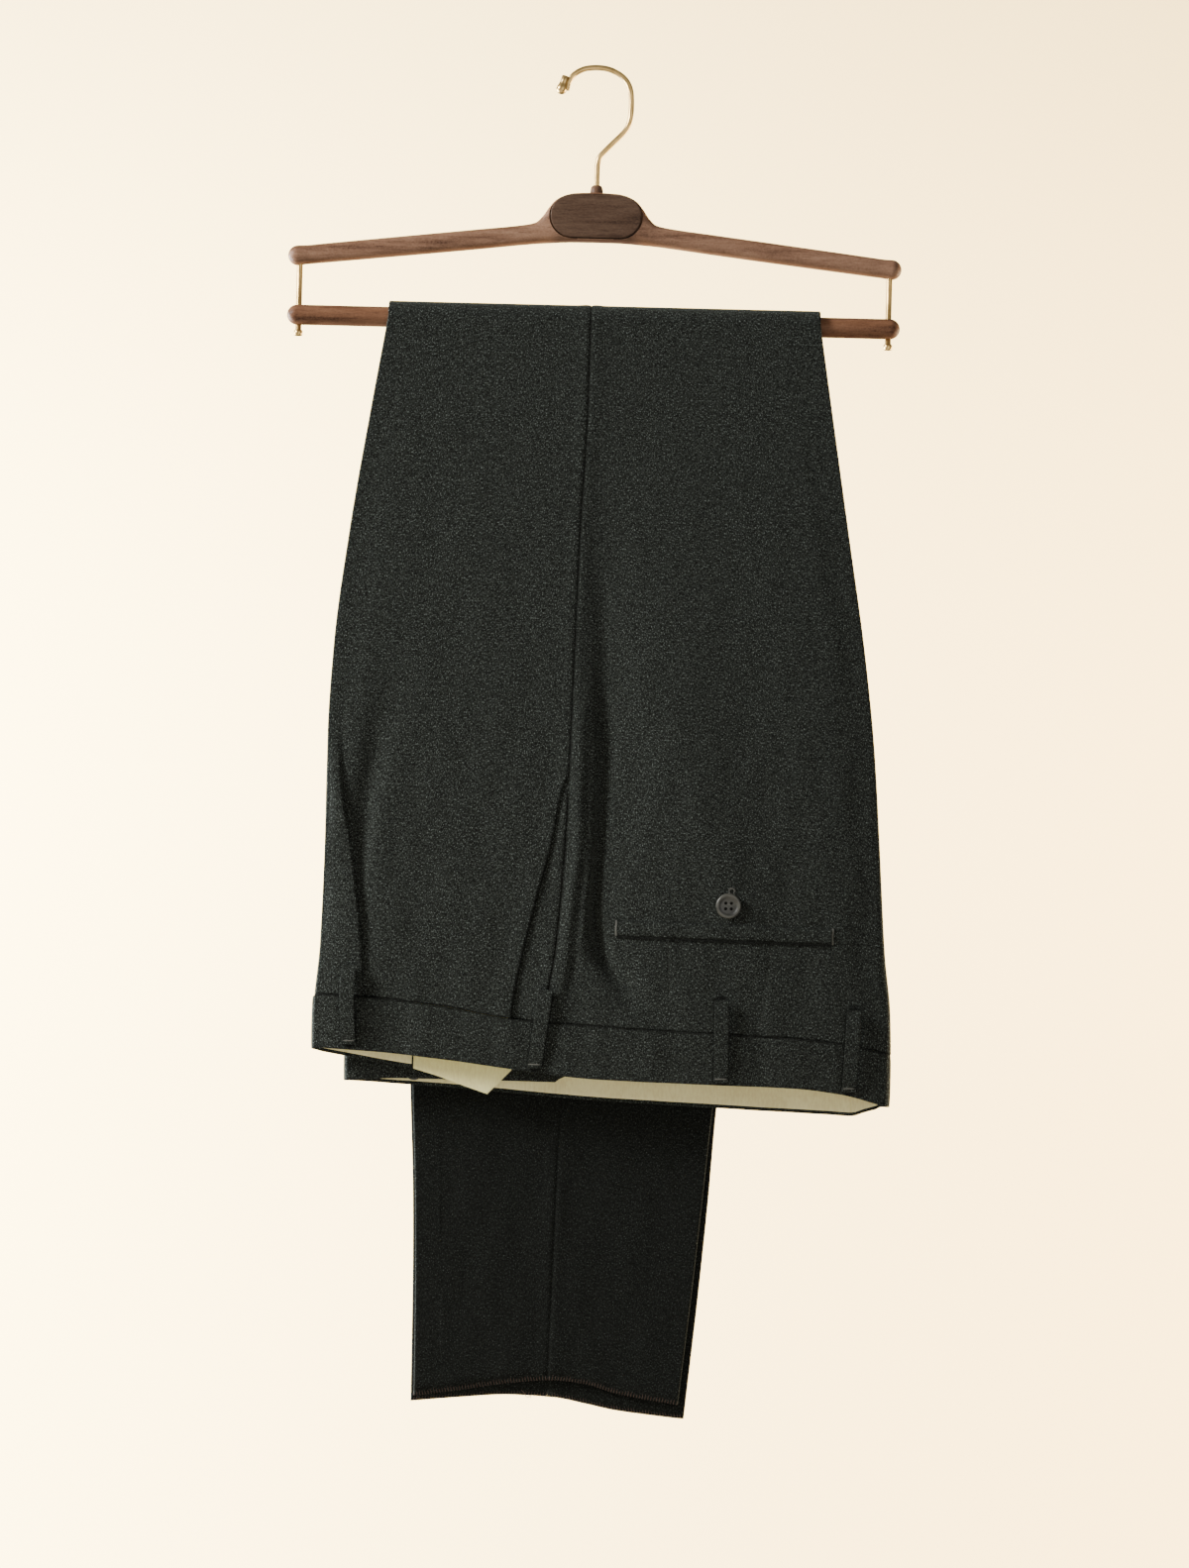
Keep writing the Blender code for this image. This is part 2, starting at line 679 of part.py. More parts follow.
def mesh_from(name, build):
    """A mesh made by a function that fills a bmesh in millimetres."""
    shape = bmesh.new()
    build(shape)
    bmesh.ops.scale(shape, vec=(MM, MM, MM), verts=shape.verts)
    mesh = bpy.data.meshes.new(name)
    shape.to_mesh(mesh)
    shape.free()
    return mesh


def add_sheet(name, rows, wall, finish, collection):
    """A cloth piece: a grid of middle-surface points, given its wall by Solidify."""

    def build(shape):
        grid = [[shape.verts.new(point) for point in row] for row in rows]
        for upper, lower in zip(grid, grid[1:]):
            for index in range(len(upper) - 1):
                corners = (upper[index], upper[index + 1], lower[index + 1], lower[index])
                shape.faces.new(corners).smooth = True

    made = add_object(name, mesh_from(name, build), finish, collection)
    shell = made.modifiers.new("wall", "SOLIDIFY")
    shell.thickness = wall * MM
    shell.offset = 0
    shell.use_even_offset = True
    shell.use_quality_normals = True
    return made


def add_loft(name, rings, finish, collection):
    """A solid through rings of equal count, closed by a flat face at each end."""

    def build(shape):
        loops = [[shape.verts.new(point) for point in ring] for ring in rings]
        for first, second in zip(loops, loops[1:]):
            for index in range(len(first)):
                after = (index + 1) % len(first)
                shape.faces.new((first[index], first[after], second[after], second[index]))
        shape.faces.new(loops[0][::-1])
        shape.faces.new(loops[-1])
        bmesh.ops.recalc_face_normals(shape, faces=shape.faces)

    mesh = mesh_from(name, build)
    mesh.shade_smooth()
    mesh.set_sharp_from_angle(angle=radians(50))
    return add_object(name, mesh, finish, collection)


def add_turned(name, profile, steps, finish, collection):
    """A turned piece: a profile of (radius, height) from top to bottom, spun by Screw."""

    def build(shape):
        points = [shape.verts.new((radius, 0, height)) for radius, height in profile]
        for first, second in zip(points, points[1:]):
            shape.edges.new((first, second))

    made = add_object(name, mesh_from(name, build), finish, collection)
    spin = made.modifiers.new("spin", "SCREW")
    spin.steps = spin.render_steps = steps
    spin.use_merge_vertices = True
    spin.merge_threshold = 0.00001
    spin.use_smooth_shade = True
    return made


def add_cutter(name, radius, bottom, top, place, collection, segments=16):
    """An upright cylinder that cuts a bore."""

    def build(shape):
        made = bmesh.ops.create_cone(
            shape,
            cap_ends=True,
            segments=segments,
            radius1=radius,
            radius2=radius,
            depth=top - bottom,
        )
        bmesh.ops.translate(shape, vec=(*place, (bottom + top) / 2), verts=made["verts"])

    return add_object(name, mesh_from(name, build), None, collection)


def cut(target, cutter):
    """Takes the cutter out of a piece, and leaves it as a hidden outline."""
    cutter.hide_render = True
    cutter.display_type = "WIRE"
    bore = target.modifiers.new(cutter.name, "BOOLEAN")
    bore.object = cutter
    bore.operation = "DIFFERENCE"
    bore.solver = "EXACT"


# ---------------------------------------------------------------- trousers
def add_panels(collection):
    for side in ("right", "left"):
        for part in ("front", "back"):
            add_sheet(f"{side}_{part}", panel_grid(side, part), CLOTH, FLANNEL, collection)


def add_pocket_facings(collection):
    """The strip behind each slanted side pocket, tucked under the front panel."""
    for side, out in (("right", 1), ("left", -1)):
        layer = side + "_lateral"
        rows = []
        for share in FACING_STATIONS:
            guess = POCKET_TOP + (waist(layer, -30) - POCKET_TOP) * share
            seam = read(NEAR_FOLDS, NEAR_NAMES, "seam", guess) - FACING_SIDE_GAP
            edge = read(POCKET, POCKET_NAMES, "edge", guess)
            behind, halfway, at_seam = FACING_DEPTHS
            columns = (
                (edge - FACING_TUCK, behind),
                (edge - FACING_BEFORE, behind),
                (edge + FACING_PAST, behind),
                ((edge + seam) / 2, halfway),
                (seam, at_seam),
            )
            row = []
            for x, under in columns:
                end = waist(layer, x) + 2 * GAP
                height = POCKET_TOP + (end - POCKET_TOP) * share
                row.append((x, -(reach(layer, x, height) - out * under), height))
            rows.append(row)
        add_sheet(f"{side}_side_pocket_facing", rows, CLOTH, FLANNEL, collection)


def add_bands(collection):
    """Waistbands and the lining inside each; the left one ends in a slanted tab."""
    right, left = right_band_line(), left_band_line()
    slant = TAB_END[1] - TAB_END[0]
    for side, line, lean in (("right", right, 0.0), ("left", left, slant)):
        outer = band_grid(line, BAND_TOP_DROP, 0, lean)
        add_sheet(f"{side}_waistband", outer, BAND_WALL, FLANNEL, collection)
        inner = band_grid(beside(line, -LINING_STEP), GAP, LINING_RIM, lean)
        add_sheet(f"{side}_waistband_lining", inner, CLOTH, LINING, collection)


def add_fly_shield(collection):
    """The pointed inner shield that continues the right front past its fly edge."""
    rows = []
    for share in np.linspace(0, 1, 7):
        row = []
        for column, low in SHIELD_TIP:
            height = low + (SHIELD_TOP - low) * share
            near = read(FORK_EDGES, FORK_NAMES, "right_front", height) + SHIELD_GAP
            far = read(SHIELD_EDGE, SHIELD_NAMES, "edge", height)
            x = near * (1 - column) + far * column
            row.append((x, -reach("right_medial", x, height), height))
        rows.append(row)
    add_sheet("fly_shield", rows, CLOTH, LINING, collection)


def add_back_pockets(collection):
    """The single welt of each back pocket, laid on the panel, and its button."""
    for side, out in (("right", 1), ("left", -1)):
        rows = []
        for share in (0, 0.5, 1):
            row = []
            for x in np.linspace(WELT_FRONT, WELT_BACK, 17):
                run = x - WELT_FRONT
                height = WELT_NEAR_SEAT[side] + WELT_SLOPE * run - WELT_HEIGHT * share
                under = max(out * skin(side, x + dx, height) for dx in (-8, -4, 0, 4, 8))
                rise = CLOTH / 2 + GAP + WELT_WALL / 2
                row.append((x, -out * (under + rise), height))
            rows.append(row)
        add_sheet(f"{side}_back_pocket_welt", rows, WELT_WALL, FLANNEL, collection)


def add_button(name, radius, wall, place, turn, collection, holes):
    """A four-hole button with a raised rim: turned, drilled, and faced to one side."""
    rim = radius * 0.14
    profile = (
        (0.0, wall * 0.62),
        (radius - rim * 2.4, wall * 0.70),
        (radius - rim * 1.6, wall),
        (radius - rim * 0.6, wall * 0.95),
        (radius, wall * 0.6),
        (radius, wall * 0.35),
        (radius * 0.72, 0.0),
        (0.0, 0.0),
    )
    button = add_turned(name, profile, 18, HORN, collection)
    spacing = radius * 0.205
    for index in range(4):
        angle = pi / 4 + index * pi / 2
        where = (spacing * 1.414 * cos(angle), spacing * 1.414 * sin(angle))
        drill = add_cutter(f"{name}_hole_{index}", radius * 0.1, -1, wall + 1, where, holes, 8)
        drill.parent = button
        cut(button, drill)
    button.rotation_euler = turn
    button.location = [value * MM for value in place]


def add_buttons(collection, holes):
    near_side, far_side = (pi / 2, 0, 0), (-pi / 2, 0, 0)
    for side, out, turn in (("right", 1, near_side), ("left", -1, far_side)):
        x, height = POCKET_BUTTON[side]
        under = max(out * skin(side, x + dx, height) for dx in (-8, 0, 8)) * out
        at = under + out * (CLOTH / 2 + GAP + 0.2)
        name = f"{side}_back_pocket_button"
        add_button(name, POCKET_BUTTON_RADIUS, 2.8, (x, -at, height), turn, collection, holes)
    x, height = INNER_BUTTON
    at = band_reach("left_medial", x) - LINING_STEP - CLOTH / 2 - GAP
    add_button("inner_button", INNER_BUTTON_RADIUS, 2.2, (x, -at, height), far_side, collection, holes)


def add_belt_loops(collection):
    """Eight loops: straps tacked above the waist seam and at the band's edge."""
    for loop in BELT_LOOPS:
        side, part = loop.layer.split("_")
        out = (1 if side == "right" else -1) * (1 if part == "lateral" else -1)
        rows = []
        for share in LOOP_STATIONS:
            x = loop.top_x + (loop.bottom_x - loop.top_x) * share
            height = loop.top + (loop.bottom - loop.top) * share
            bow = loop.bow * ease(1 - abs(share * 2 - 1) ** 2.5)
            away = GAP + LOOP_WALL / 2 + BAND_WALL / 2 + bow + LOOP_CLEAR
            row = []
            for across in (-0.5, 0.5):
                place = x + across * LOOP_WIDTH
                at = band_reach(loop.layer, place)
                row.append((place, -(at + out * away), height))
            rows.append(row)
        add_sheet(f"belt_loop_{loop.name}", rows, LOOP_WALL, FLANNEL, collection)


# ---------------------------------------------------------------- hanger
def body_ring(x, top, bottom, depth, squareness):
    """A section of the hanger's arm: a superellipse in the plane across X."""
    middle, half = (top + bottom) / 2, (top - bottom) / 2
    ring = []
    for index in range(BODY_SIDES):
        angle = 2 * pi * index / BODY_SIDES
        power = 2 / squareness
        y = depth * np.sign(cos(angle)) * abs(cos(angle)) ** power
        z = half * np.sign(sin(angle)) * abs(sin(angle)) ** power
        ring.append((x, y, middle + z))
    return ring


def add_hanger_body(collection, cutters):
    half = [body_ring(*row) for row in BODY_SECTIONS]
    place, height, radius = BALL
    for angle in BALL_ANGLES:
        size = radius * cos(radians(angle))
        x = place + radius * sin(radians(angle))
        half.append(body_ring(x, height + size, height - size, size, 2.0))
    other = [[(-x, y, z) for x, y, z in ring] for ring in half[:0:-1]]
    body = add_loft("hanger_body", other + half, WOOD, collection)
    for name, side in (("left", -1), ("right", 1)):
        place = (side * ROD_PLACE, 0)
        bore, top = ROD_RADIUS + GAP, ROD_TOP + GAP
        cut(body, add_cutter(f"socket_{name}", bore, SOCKET_LOW, top, place, cutters))
    bore, bottom = WIRE_RADIUS + GAP, HOOK_END - GAP
    cut(body, add_cutter("hook_socket", bore, bottom, HOOK_SOCKET_TOP, (0, 0), cutters))
    cut(body, add_stadium("plate_recess", GAP, RECESS_FRONT, PLATE_BACK, None, cutters))


def add_stadium(name, margin, front, back, finish, collection):
    """A flat plate with round ends, wider than the label plate by a margin."""
    radius = PLATE_WIDTH / 2 - GAP + margin
    reach_x = PLATE_LENGTH / 2 - PLATE_WIDTH / 2
    angles = np.linspace(-90, 90, 9)
    outline = [(reach_x + radius * cos(radians(a)), radius * sin(radians(a))) for a in angles]
    outline += [(-x, -z) for x, z in outline]
    rings = [[(x, y, PLATE_HEIGHT + z) for x, z in outline] for y in (front, back)]
    return add_loft(name, rings, finish, collection)


def add_hook(collection):
    """The wire hook, on a smooth route through its own points, and its bulb tip."""
    points = np.array(HOOK_ROUTE)
    ends = np.vstack([2 * points[0] - points[1], points, 2 * points[-1] - points[-2]])
    route = []
    for index in range(1, len(ends) - 2):
        before, start, stop, after = ends[index - 1 : index + 3]
        for share in (0, 0.5):
            bend = (2 * start, stop - before, 2 * before - 5 * start + 4 * stop - after)
            last = 3 * start - before - 3 * stop + after
            route.append((bend[0] + bend[1] * share + bend[2] * share**2 + last * share**3) / 2)
    route.append(points[-1])
    curve = bpy.data.curves.new("hook", "CURVE")
    curve.dimensions = "3D"
    curve.bevel_depth = WIRE_RADIUS * MM
    curve.bevel_resolution = 2
    curve.use_fill_caps = True
    spline = curve.splines.new("POLY")
    spline.points.add(len(route) - 1)
    for point, (x, z) in zip(spline.points, route):
        point.co = (x * MM, 0, z * MM, 1)
    add_object("hook", curve, BRASS, collection)
    profile = ((0.0, TIP_PROFILE[0][1]), *TIP_PROFILE, (0.0, TIP_BOTTOM))
    tip = add_turned("hook_tip", profile, 16, BRASS, collection)
    tip.rotation_euler = (0, radians(TIP_LEAN), 0)
    tip.location = (TIP_PLACE[0] * MM, 0, TIP_PLACE[1] * MM)
    inside = [(WIRE_RADIUS + GAP, height) for height in (COLLAR[0][1], COLLAR[-1][1])]
    collar = (inside[0], *COLLAR, inside[1], inside[0])
    add_turned("hook_collar", collar, 20, WOOD, collection)


def add_bar(collection, cutters):
    """The round bar, hung on two rods that pass through it and end in knobs."""
    straight = BAR_LENGTH / 2 - BAR_RADIUS
    angles = (90, 65, 40, 18, 0)
    top = [(BAR_RADIUS * cos(radians(a)), straight + BAR_RADIUS * sin(radians(a))) for a in angles]
    top[0] = (0.0, BAR_LENGTH / 2)
    profile = top + [(radius, -height) for radius, height in top[::-1]]
    bar = add_turned("bar", profile, 24, WOOD, collection)
    bar.rotation_euler = (0, pi / 2, 0)
    bar.location = (0, 0, BAR_HEIGHT * MM)
    for name, side in (("left", -1), ("right", 1)):
        place = (side * ROD_PLACE, 0)
        bottom, top = BAR_HEIGHT - BORE_REACH, BAR_HEIGHT + BORE_REACH
        cut(bar, add_cutter(f"bore_{name}", ROD_RADIUS + GAP, bottom, top, place, cutters))
        knob_top = BAR_HEIGHT - BAR_RADIUS - GAP
        profile = (
            (0.0, ROD_TOP),
            (ROD_RADIUS, ROD_TOP),
            (ROD_RADIUS, knob_top - 3.2),
            (KNOB_RADIUS, knob_top - 3.6),
            (KNOB_RADIUS, KNOB_BOTTOM + 0.9),
            (KNOB_RADIUS - 0.9, KNOB_BOTTOM),
            (0.0, KNOB_BOTTOM),
        )
        rod = add_turned(f"rod_{name}", profile, 16, BRASS, collection)
        rod.location = (side * ROD_PLACE * MM, 0, 0)


for leftover in list(bpy.data.objects):
    bpy.data.objects.remove(leftover, do_unlink=True)
trousers = bpy.data.collections.new("trousers_on_hanger")
bpy.context.scene.collection.children.link(trousers)
hidden = bpy.data.collections.new("cutters")
bpy.context.scene.collection.children.link(hidden)

add_hanger_body(trousers, hidden)
add_stadium("hanger_plate", 0, PLATE_FRONT, PLATE_BACK - GAP, PLATE, trousers)
add_hook(trousers)
add_bar(trousers, hidden)
add_panels(trousers)
add_pocket_facings(trousers)
add_bands(trousers)
add_fly_shield(trousers)
add_back_pockets(trousers)
add_buttons(trousers, hidden)
add_belt_loops(trousers)
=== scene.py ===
"""Pleated flannel trousers, folded over the bar of a wooden trouser hanger.

The hanger comes first, then the legs that hang on its bar, and then what is sewn to
them, in the order a tailor adds it. +X is the wearer's back, -Y the side that shows the
right leg, and the origin is the inner top of the hook. Tables are in millimetres.
"""
from math import cos, pi, radians, sin

import bmesh
import bpy
import numpy as np
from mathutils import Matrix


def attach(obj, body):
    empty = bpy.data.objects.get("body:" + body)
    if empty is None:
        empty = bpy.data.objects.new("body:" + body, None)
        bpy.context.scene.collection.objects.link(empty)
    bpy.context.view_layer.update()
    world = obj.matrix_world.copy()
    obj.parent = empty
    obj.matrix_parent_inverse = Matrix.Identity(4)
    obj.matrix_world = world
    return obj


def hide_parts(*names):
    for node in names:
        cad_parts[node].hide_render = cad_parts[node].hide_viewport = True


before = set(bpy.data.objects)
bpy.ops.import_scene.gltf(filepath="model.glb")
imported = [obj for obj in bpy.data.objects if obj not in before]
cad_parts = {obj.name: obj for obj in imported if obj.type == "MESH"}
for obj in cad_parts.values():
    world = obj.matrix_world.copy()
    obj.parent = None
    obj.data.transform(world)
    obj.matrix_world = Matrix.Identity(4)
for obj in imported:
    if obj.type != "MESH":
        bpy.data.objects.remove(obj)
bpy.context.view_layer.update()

# ---------------------------------------------------------------- studio
# A pale paper sweep lit by a lamp at each side, a key light at the upper left of the
# trousers, and weak lights round them. The camera looks level along +Y, a little tipped.
MM = 0.001
EYE, CAMERA_TIP, SENSOR, LENS, CLIP_END = (8.2, -2600.0, -468.07), -1.417, 36.0, 90.97, 50.0
SWEEP_FLOOR, SWEEP_BACK, SWEEP_ROUND = -1700.0, 1900.0, 900.0
SWEEP_HALF_WIDTH, SWEEP_FRONT, SWEEP_TOP = 1350.0, -3600.0, 1000.0
PAPER = (0.86, 0.63, 0.28)
ROOM_COLOUR, ROOM_LIGHT, ROOM_SEEN = (1.0, 0.95, 0.87), 0.24, 2.6
MERGE_WITHIN = 1e-7
# name, size in m, power in W, place, aim, colour
LIGHTS = (
    ("key", 0.8, 185.0, (-2450, -900, 850), (0, 0, -450), (1.0, 0.98, 0.95)),
    ("fill", 2.0, 8.0, (1500, -2200, 0), (0, 0, -450), (1.0, 0.98, 0.96)),
    ("paper_left", 1.0, 400.0, (-1350, 650, -520), (100, 1900, -800), (0.96, 1.0, 1.0)),
    ("paper_right", 1.0, 150.0, (1350, 650, -620), (-100, 1900, -800), (1.0, 0.82, 0.55)),
    ("bounce", 2.0, 15.5, (-300, -1100, -1600), (0, 0, -650), (1.0, 0.90, 0.72)),
    ("back", 2.0, 24.0, (0, 3000, 900), (0, 0, -450), (1.0, 0.97, 0.93)),
    ("gloss_card", 2.6, 26.0, (900, -2900, -300), (0, 0, -400), (1.0, 0.97, 0.90)),
)


def put(name, data):
    """A new object of the data in the scene."""
    made = bpy.data.objects.new(name, data)
    bpy.context.scene.collection.objects.link(made)
    return made


class Node:
    """One socket of a material's node tree. Sums on it add Math nodes, node() adds the rest."""

    def __init__(self, tree, socket=None):
        self.tree, self.socket = tree, socket

    def feed(self, socket, value):
        """Links a Node to a socket, or sets the socket's value. A colour gains its alpha."""
        if isinstance(value, Node):
            self.tree.links.new(value.socket, socket)
        else:
            socket.default_value = (*value, 1) if socket.type == "RGBA" else value

    def node(self, kind, sockets=(), output=0, stops=(), **settings):
        """Adds a node: its settings first, a ramp's stops, then its sockets' values or links."""
        made = self.tree.nodes.new("ShaderNode" + kind)
        for name, value in settings.items():
            setattr(made, name, value)
        for index, (place, colour) in enumerate(stops):
            ramp = made.color_ramp.elements
            stop = ramp[index] if index < len(ramp) else ramp.new(place)
            stop.position = place
            stop.color = (*colour, 1)
        for name, value in dict(sockets).items():
            self.feed(made.inputs[name], value)
        return Node(self.tree, made.outputs[output])

    def math(self, operation, first, second=0.0):
        return self.node("Math", {0: first, 1: second}, operation=operation)

    def __add__(self, other):
        return self.math("ADD", self, other)

    def __mul__(self, other):
        return self.math("MULTIPLY", self, other)

    def __sub__(self, other):
        return self.math("SUBTRACT", self, other)

    def __rsub__(self, other):
        return self.math("SUBTRACT", other, self)

    __radd__, __rmul__ = __add__, __mul__

    def band(self, low, high):
        """0 below low and 1 above high, with a smooth rise between them."""
        sockets = {"Value": self, "From Min": low, "From Max": high}
        return self.node("MapRange", sockets, interpolation_type="SMOOTHSTEP")

    def noise(self, place, scale, detail=2.0, rough=0.5, stretch=(1, 1, 1), turn=0.0):
        """Fractal noise on a place stretched along its axes, from 0 to 1."""
        mapping = {"Vector": place, "Scale": stretch, "Rotation": (0, 0, turn)}
        sockets = {"Scale": scale, "Detail": detail, "Roughness": rough}
        return self.node("TexNoise", {"Vector": self.node("Mapping", mapping), **sockets})

    def mix(self, share, first, second):
        """Colour mix from first to second."""
        return self.node("Mix", {0: share, 6: first, 7: second}, output=2, data_type="RGBA")

    def bump(self, height, distance, strength=1.0):
        return self.node("Bump", {"Height": height, "Distance": distance, "Strength": strength})

    def place(self):
        """The shaded point, in metres."""
        return self.node("TexCoord", output=3)

    def mark(self, name):
        """A number stored at the piece's points."""
        return self.node("Attribute", output=2, attribute_name=name)

    def cloth(self):
        """The point on the flat cloth in metres, then its across and its along alone."""
        flat = self.node("UVMap", uv_map="cloth")
        parts = (self.node("SeparateXYZ", {"Vector": flat}, output=index) for index in (0, 1))
        return flat, *parts


def finish(name, paint):
    """A material whose Principled shader takes what paint(graph) returns for its sockets."""
    made = bpy.data.materials.new(name)
    made.use_nodes = True
    graph = Node(made.node_tree)
    shader = made.node_tree.nodes["Principled BSDF"]
    for socket, value in paint(graph).items():
        graph.feed(shader.inputs[socket], value)
    return made


def grid(x, y, z):
    """Points of a grid from their coordinates."""
    return np.stack(np.broadcast_arrays(x, y, z), axis=-1)


def piece_of(mesh, material, closed):
    """A smooth piece of the mesh, its double points merged. A closed one faces outwards."""
    shape = bmesh.new()
    shape.from_mesh(mesh)
    bmesh.ops.remove_doubles(shape, verts=shape.verts, dist=MERGE_WITHIN)
    if closed:
        bmesh.ops.recalc_face_normals(shape, faces=shape.faces)
    shape.to_mesh(mesh)
    shape.free()
    mesh.materials.append(material)
    mesh.shade_smooth()
    return put(mesh.name, mesh)


def surface(name, points, material, tube=False, cloth=None, marks=None):
    """A mesh over a grid of points in mm: a quad between each four neighbours.

    A tube joins each row's end to its start, and is closed by rows that meet in a point.
    cloth is the grid's (across, along) in metres for the UV map, and marks are named
    numbers at its points.
    """
    rows, columns = points.shape[:2]
    index = np.arange(rows * columns).reshape(rows, columns)
    if tube:
        index = np.hstack([index, index[:, :1]])
    quads = np.stack([index[:-1, :-1], index[:-1, 1:], index[1:, 1:], index[1:, :-1]], axis=-1)
    quads = quads.reshape(-1, 4)
    mesh = bpy.data.meshes.new(name)
    mesh.from_pydata((points.reshape(-1, 3) * MM).tolist(), [], quads.tolist())
    for mark, values in (marks or {}).items():
        values = np.broadcast_to(values, (rows, columns)).ravel().astype("f")
        mesh.attributes.new(mark, "FLOAT", "POINT").data.foreach_set("value", values)
    if cloth is not None:
        flat = cloth.reshape(-1, 2)[quads.ravel()].ravel().astype("f")
        mesh.uv_layers.new(name="cloth").data.foreach_set("uv", flat)
    return piece_of(mesh, material, closed=tube)


def paper(g):
    """Paint of matt paper. It is clear from behind, for a camera on that side."""
    behind = g.node("NewGeometry", output="Backfacing")
    return {"Base Color": PAPER, "Roughness": 0.9, "Alpha": 1 - behind}


camera = put("camera", bpy.data.cameras.new("camera"))
camera.data.lens, camera.data.sensor_width, camera.data.clip_end = LENS, SENSOR, CLIP_END
camera.location = [value * MM for value in EYE]
camera.rotation_euler = (pi / 2, radians(CAMERA_TIP), 0)
bpy.context.scene.camera = camera

# The sweep is a floor, a quarter round and an upright.
turn = np.radians(np.linspace(-90, 0, 25))
y = SWEEP_BACK - SWEEP_ROUND + SWEEP_ROUND * np.cos(turn)
z = SWEEP_FLOOR + SWEEP_ROUND * (1 + np.sin(turn))
y = np.concatenate([[SWEEP_FRONT], y, [SWEEP_BACK]])[:, None]
z = np.concatenate([[SWEEP_FLOOR], z, [SWEEP_TOP]])[:, None]
sides = np.array([[-SWEEP_HALF_WIDTH, SWEEP_HALF_WIDTH]])
sweep = surface("paper_sweep", grid(sides, y, z), finish("paper", paper))
sweep.visible_diffuse = sweep.visible_glossy = sweep.visible_shadow = False

for light_name, size, power, place, target, colour in LIGHTS:
    lamp = bpy.data.lights.new(light_name, "AREA")
    lamp.size, lamp.energy, lamp.color = size, power, colour
    stand = put(light_name, lamp)
    stand.location = [value * MM for value in place]
    x, y, z = np.array(target) - np.array(place)
    stand.rotation_euler = (np.arctan2(np.hypot(x, y), -z), 0, np.arctan2(-x, y))
    stand.visible_camera = False
    stand.visible_diffuse = light_name != "gloss_card"
room = bpy.data.worlds.new("room")
room.use_nodes = True
sky, graph = room.node_tree.nodes["Background"], Node(room.node_tree)
graph.feed(sky.inputs["Color"], ROOM_COLOUR)
seen = graph.node("LightPath", output="Is Camera Ray")
graph.feed(sky.inputs["Strength"], seen * ROOM_SEEN + ROOM_LIGHT)
bpy.context.scene.world = room

# ---------------------------------------------------------------- hanger body
# One piece of walnut, thick in the middle and tapering to a ball at each end. Its flat
# front is recessed for the label plate. Its top and bottom edges carry a painted warm
# highlight, and painted shade darkens its underside below the plate and the recess walls.
WALNUT_TONES = ((0.026, 0.011, 0.006), (0.110, 0.058, 0.035), (0.190, 0.112, 0.071))
# Colour of the painted warm highlight on the rounded edges.
WALNUT_HIGHLIGHT = (0.250, 0.112, 0.045)
# The second value is the share of painted warm highlight on the body's edges; the third darkens the
# recess walls with painted shade.
BODY_TINT, BODY_HIGHLIGHT, RECESS_SHADE = (1.75, 1.78, 1.82), 0.5, (0.3, 0.3, 0.3)
BALL_PLACE, BALL_HEIGHT, BALL_RADIUS, ARM_END = 194.7, -126.1, 6.5, 188.6
PLATE_LENGTH, PLATE_WIDTH, PLATE_HEIGHT = 59.3, 27.7, -96.5
PLATE_BACK, PLATE_GROOVE, RECESS_BACK, RECESS_FRONT, UNDER_PLATE = -6.3, 1.0, -6.0, -12.0, 34.0


class Shape:
    """A short table of named columns, read between its rows on one smooth curve.

    The curve is a cubic from row to row. Its slope at a row is the harmonic mean of the
    slopes on both sides, or level where they differ in sign, so it never overshoots.
    """

    def __init__(self, names, *rows):
        self.names = names.split()
        self.rows = np.array(sorted(rows), float)

    def __call__(self, name, where):
        keys, values = self.rows[:, 0], self.rows[:, self.names.index(name)]
        step = np.diff(keys)
        rise = np.diff(values) / step
        slope = np.concatenate([rise[:1], np.zeros(len(rise) - 1), rise[-1:]])
        even = np.flatnonzero(rise[:-1] * rise[1:] > 0)
        slope[even + 1] = 2 * rise[even] * rise[even + 1] / (rise[even] + rise[even + 1])
        where = np.clip(where, keys[0], keys[-1])
        index = np.clip(np.searchsorted(keys, where) - 1, 0, len(step) - 1)
        width = step[index]
        t = (where - keys[index]) / width
        return (
            values[index] * (1 + 2 * t) * (1 - t) ** 2
            + slope[index] * width * t * (1 - t) ** 2
            + values[index + 1] * t * t * (3 - 2 * t)
            + slope[index + 1] * width * t * t * (t - 1)
        )


# Distance from the middle, top, bottom, half depth and squareness of each section.
BODY = Shape(
    "x top bottom depth squareness",
    (0, -80.5, -112.8, 8.5, 4), (14, -81.2, -112.9, 8.5, 4), (21, -82.9, -113.2, 8.4, 3.8),
    (26.5, -85.9, -113.6, 8.1, 3.6), (31, -91, -114, 7.6, 3.4), (35, -96.8, -114.3, 7, 3.2),
    (39.5, -100.9, -114.7, 6.6, 3), (46, -102.5, -115.4, 6.3, 3), (80, -106.6, -119.5, 6, 2.9),
    (130, -112.4, -125.2, 5.8, 2.8), (176, -117.8, -130.3, 5.6, 2.6),
    (ARM_END, -119.3, -131.7, 5.5, 2.2),
)


def ease(share):
    """3 s^2 - 2 s^3, with s held between 0 and 1."""
    share = np.clip(share, 0, 1)
    return share * share * (3 - 2 * share)


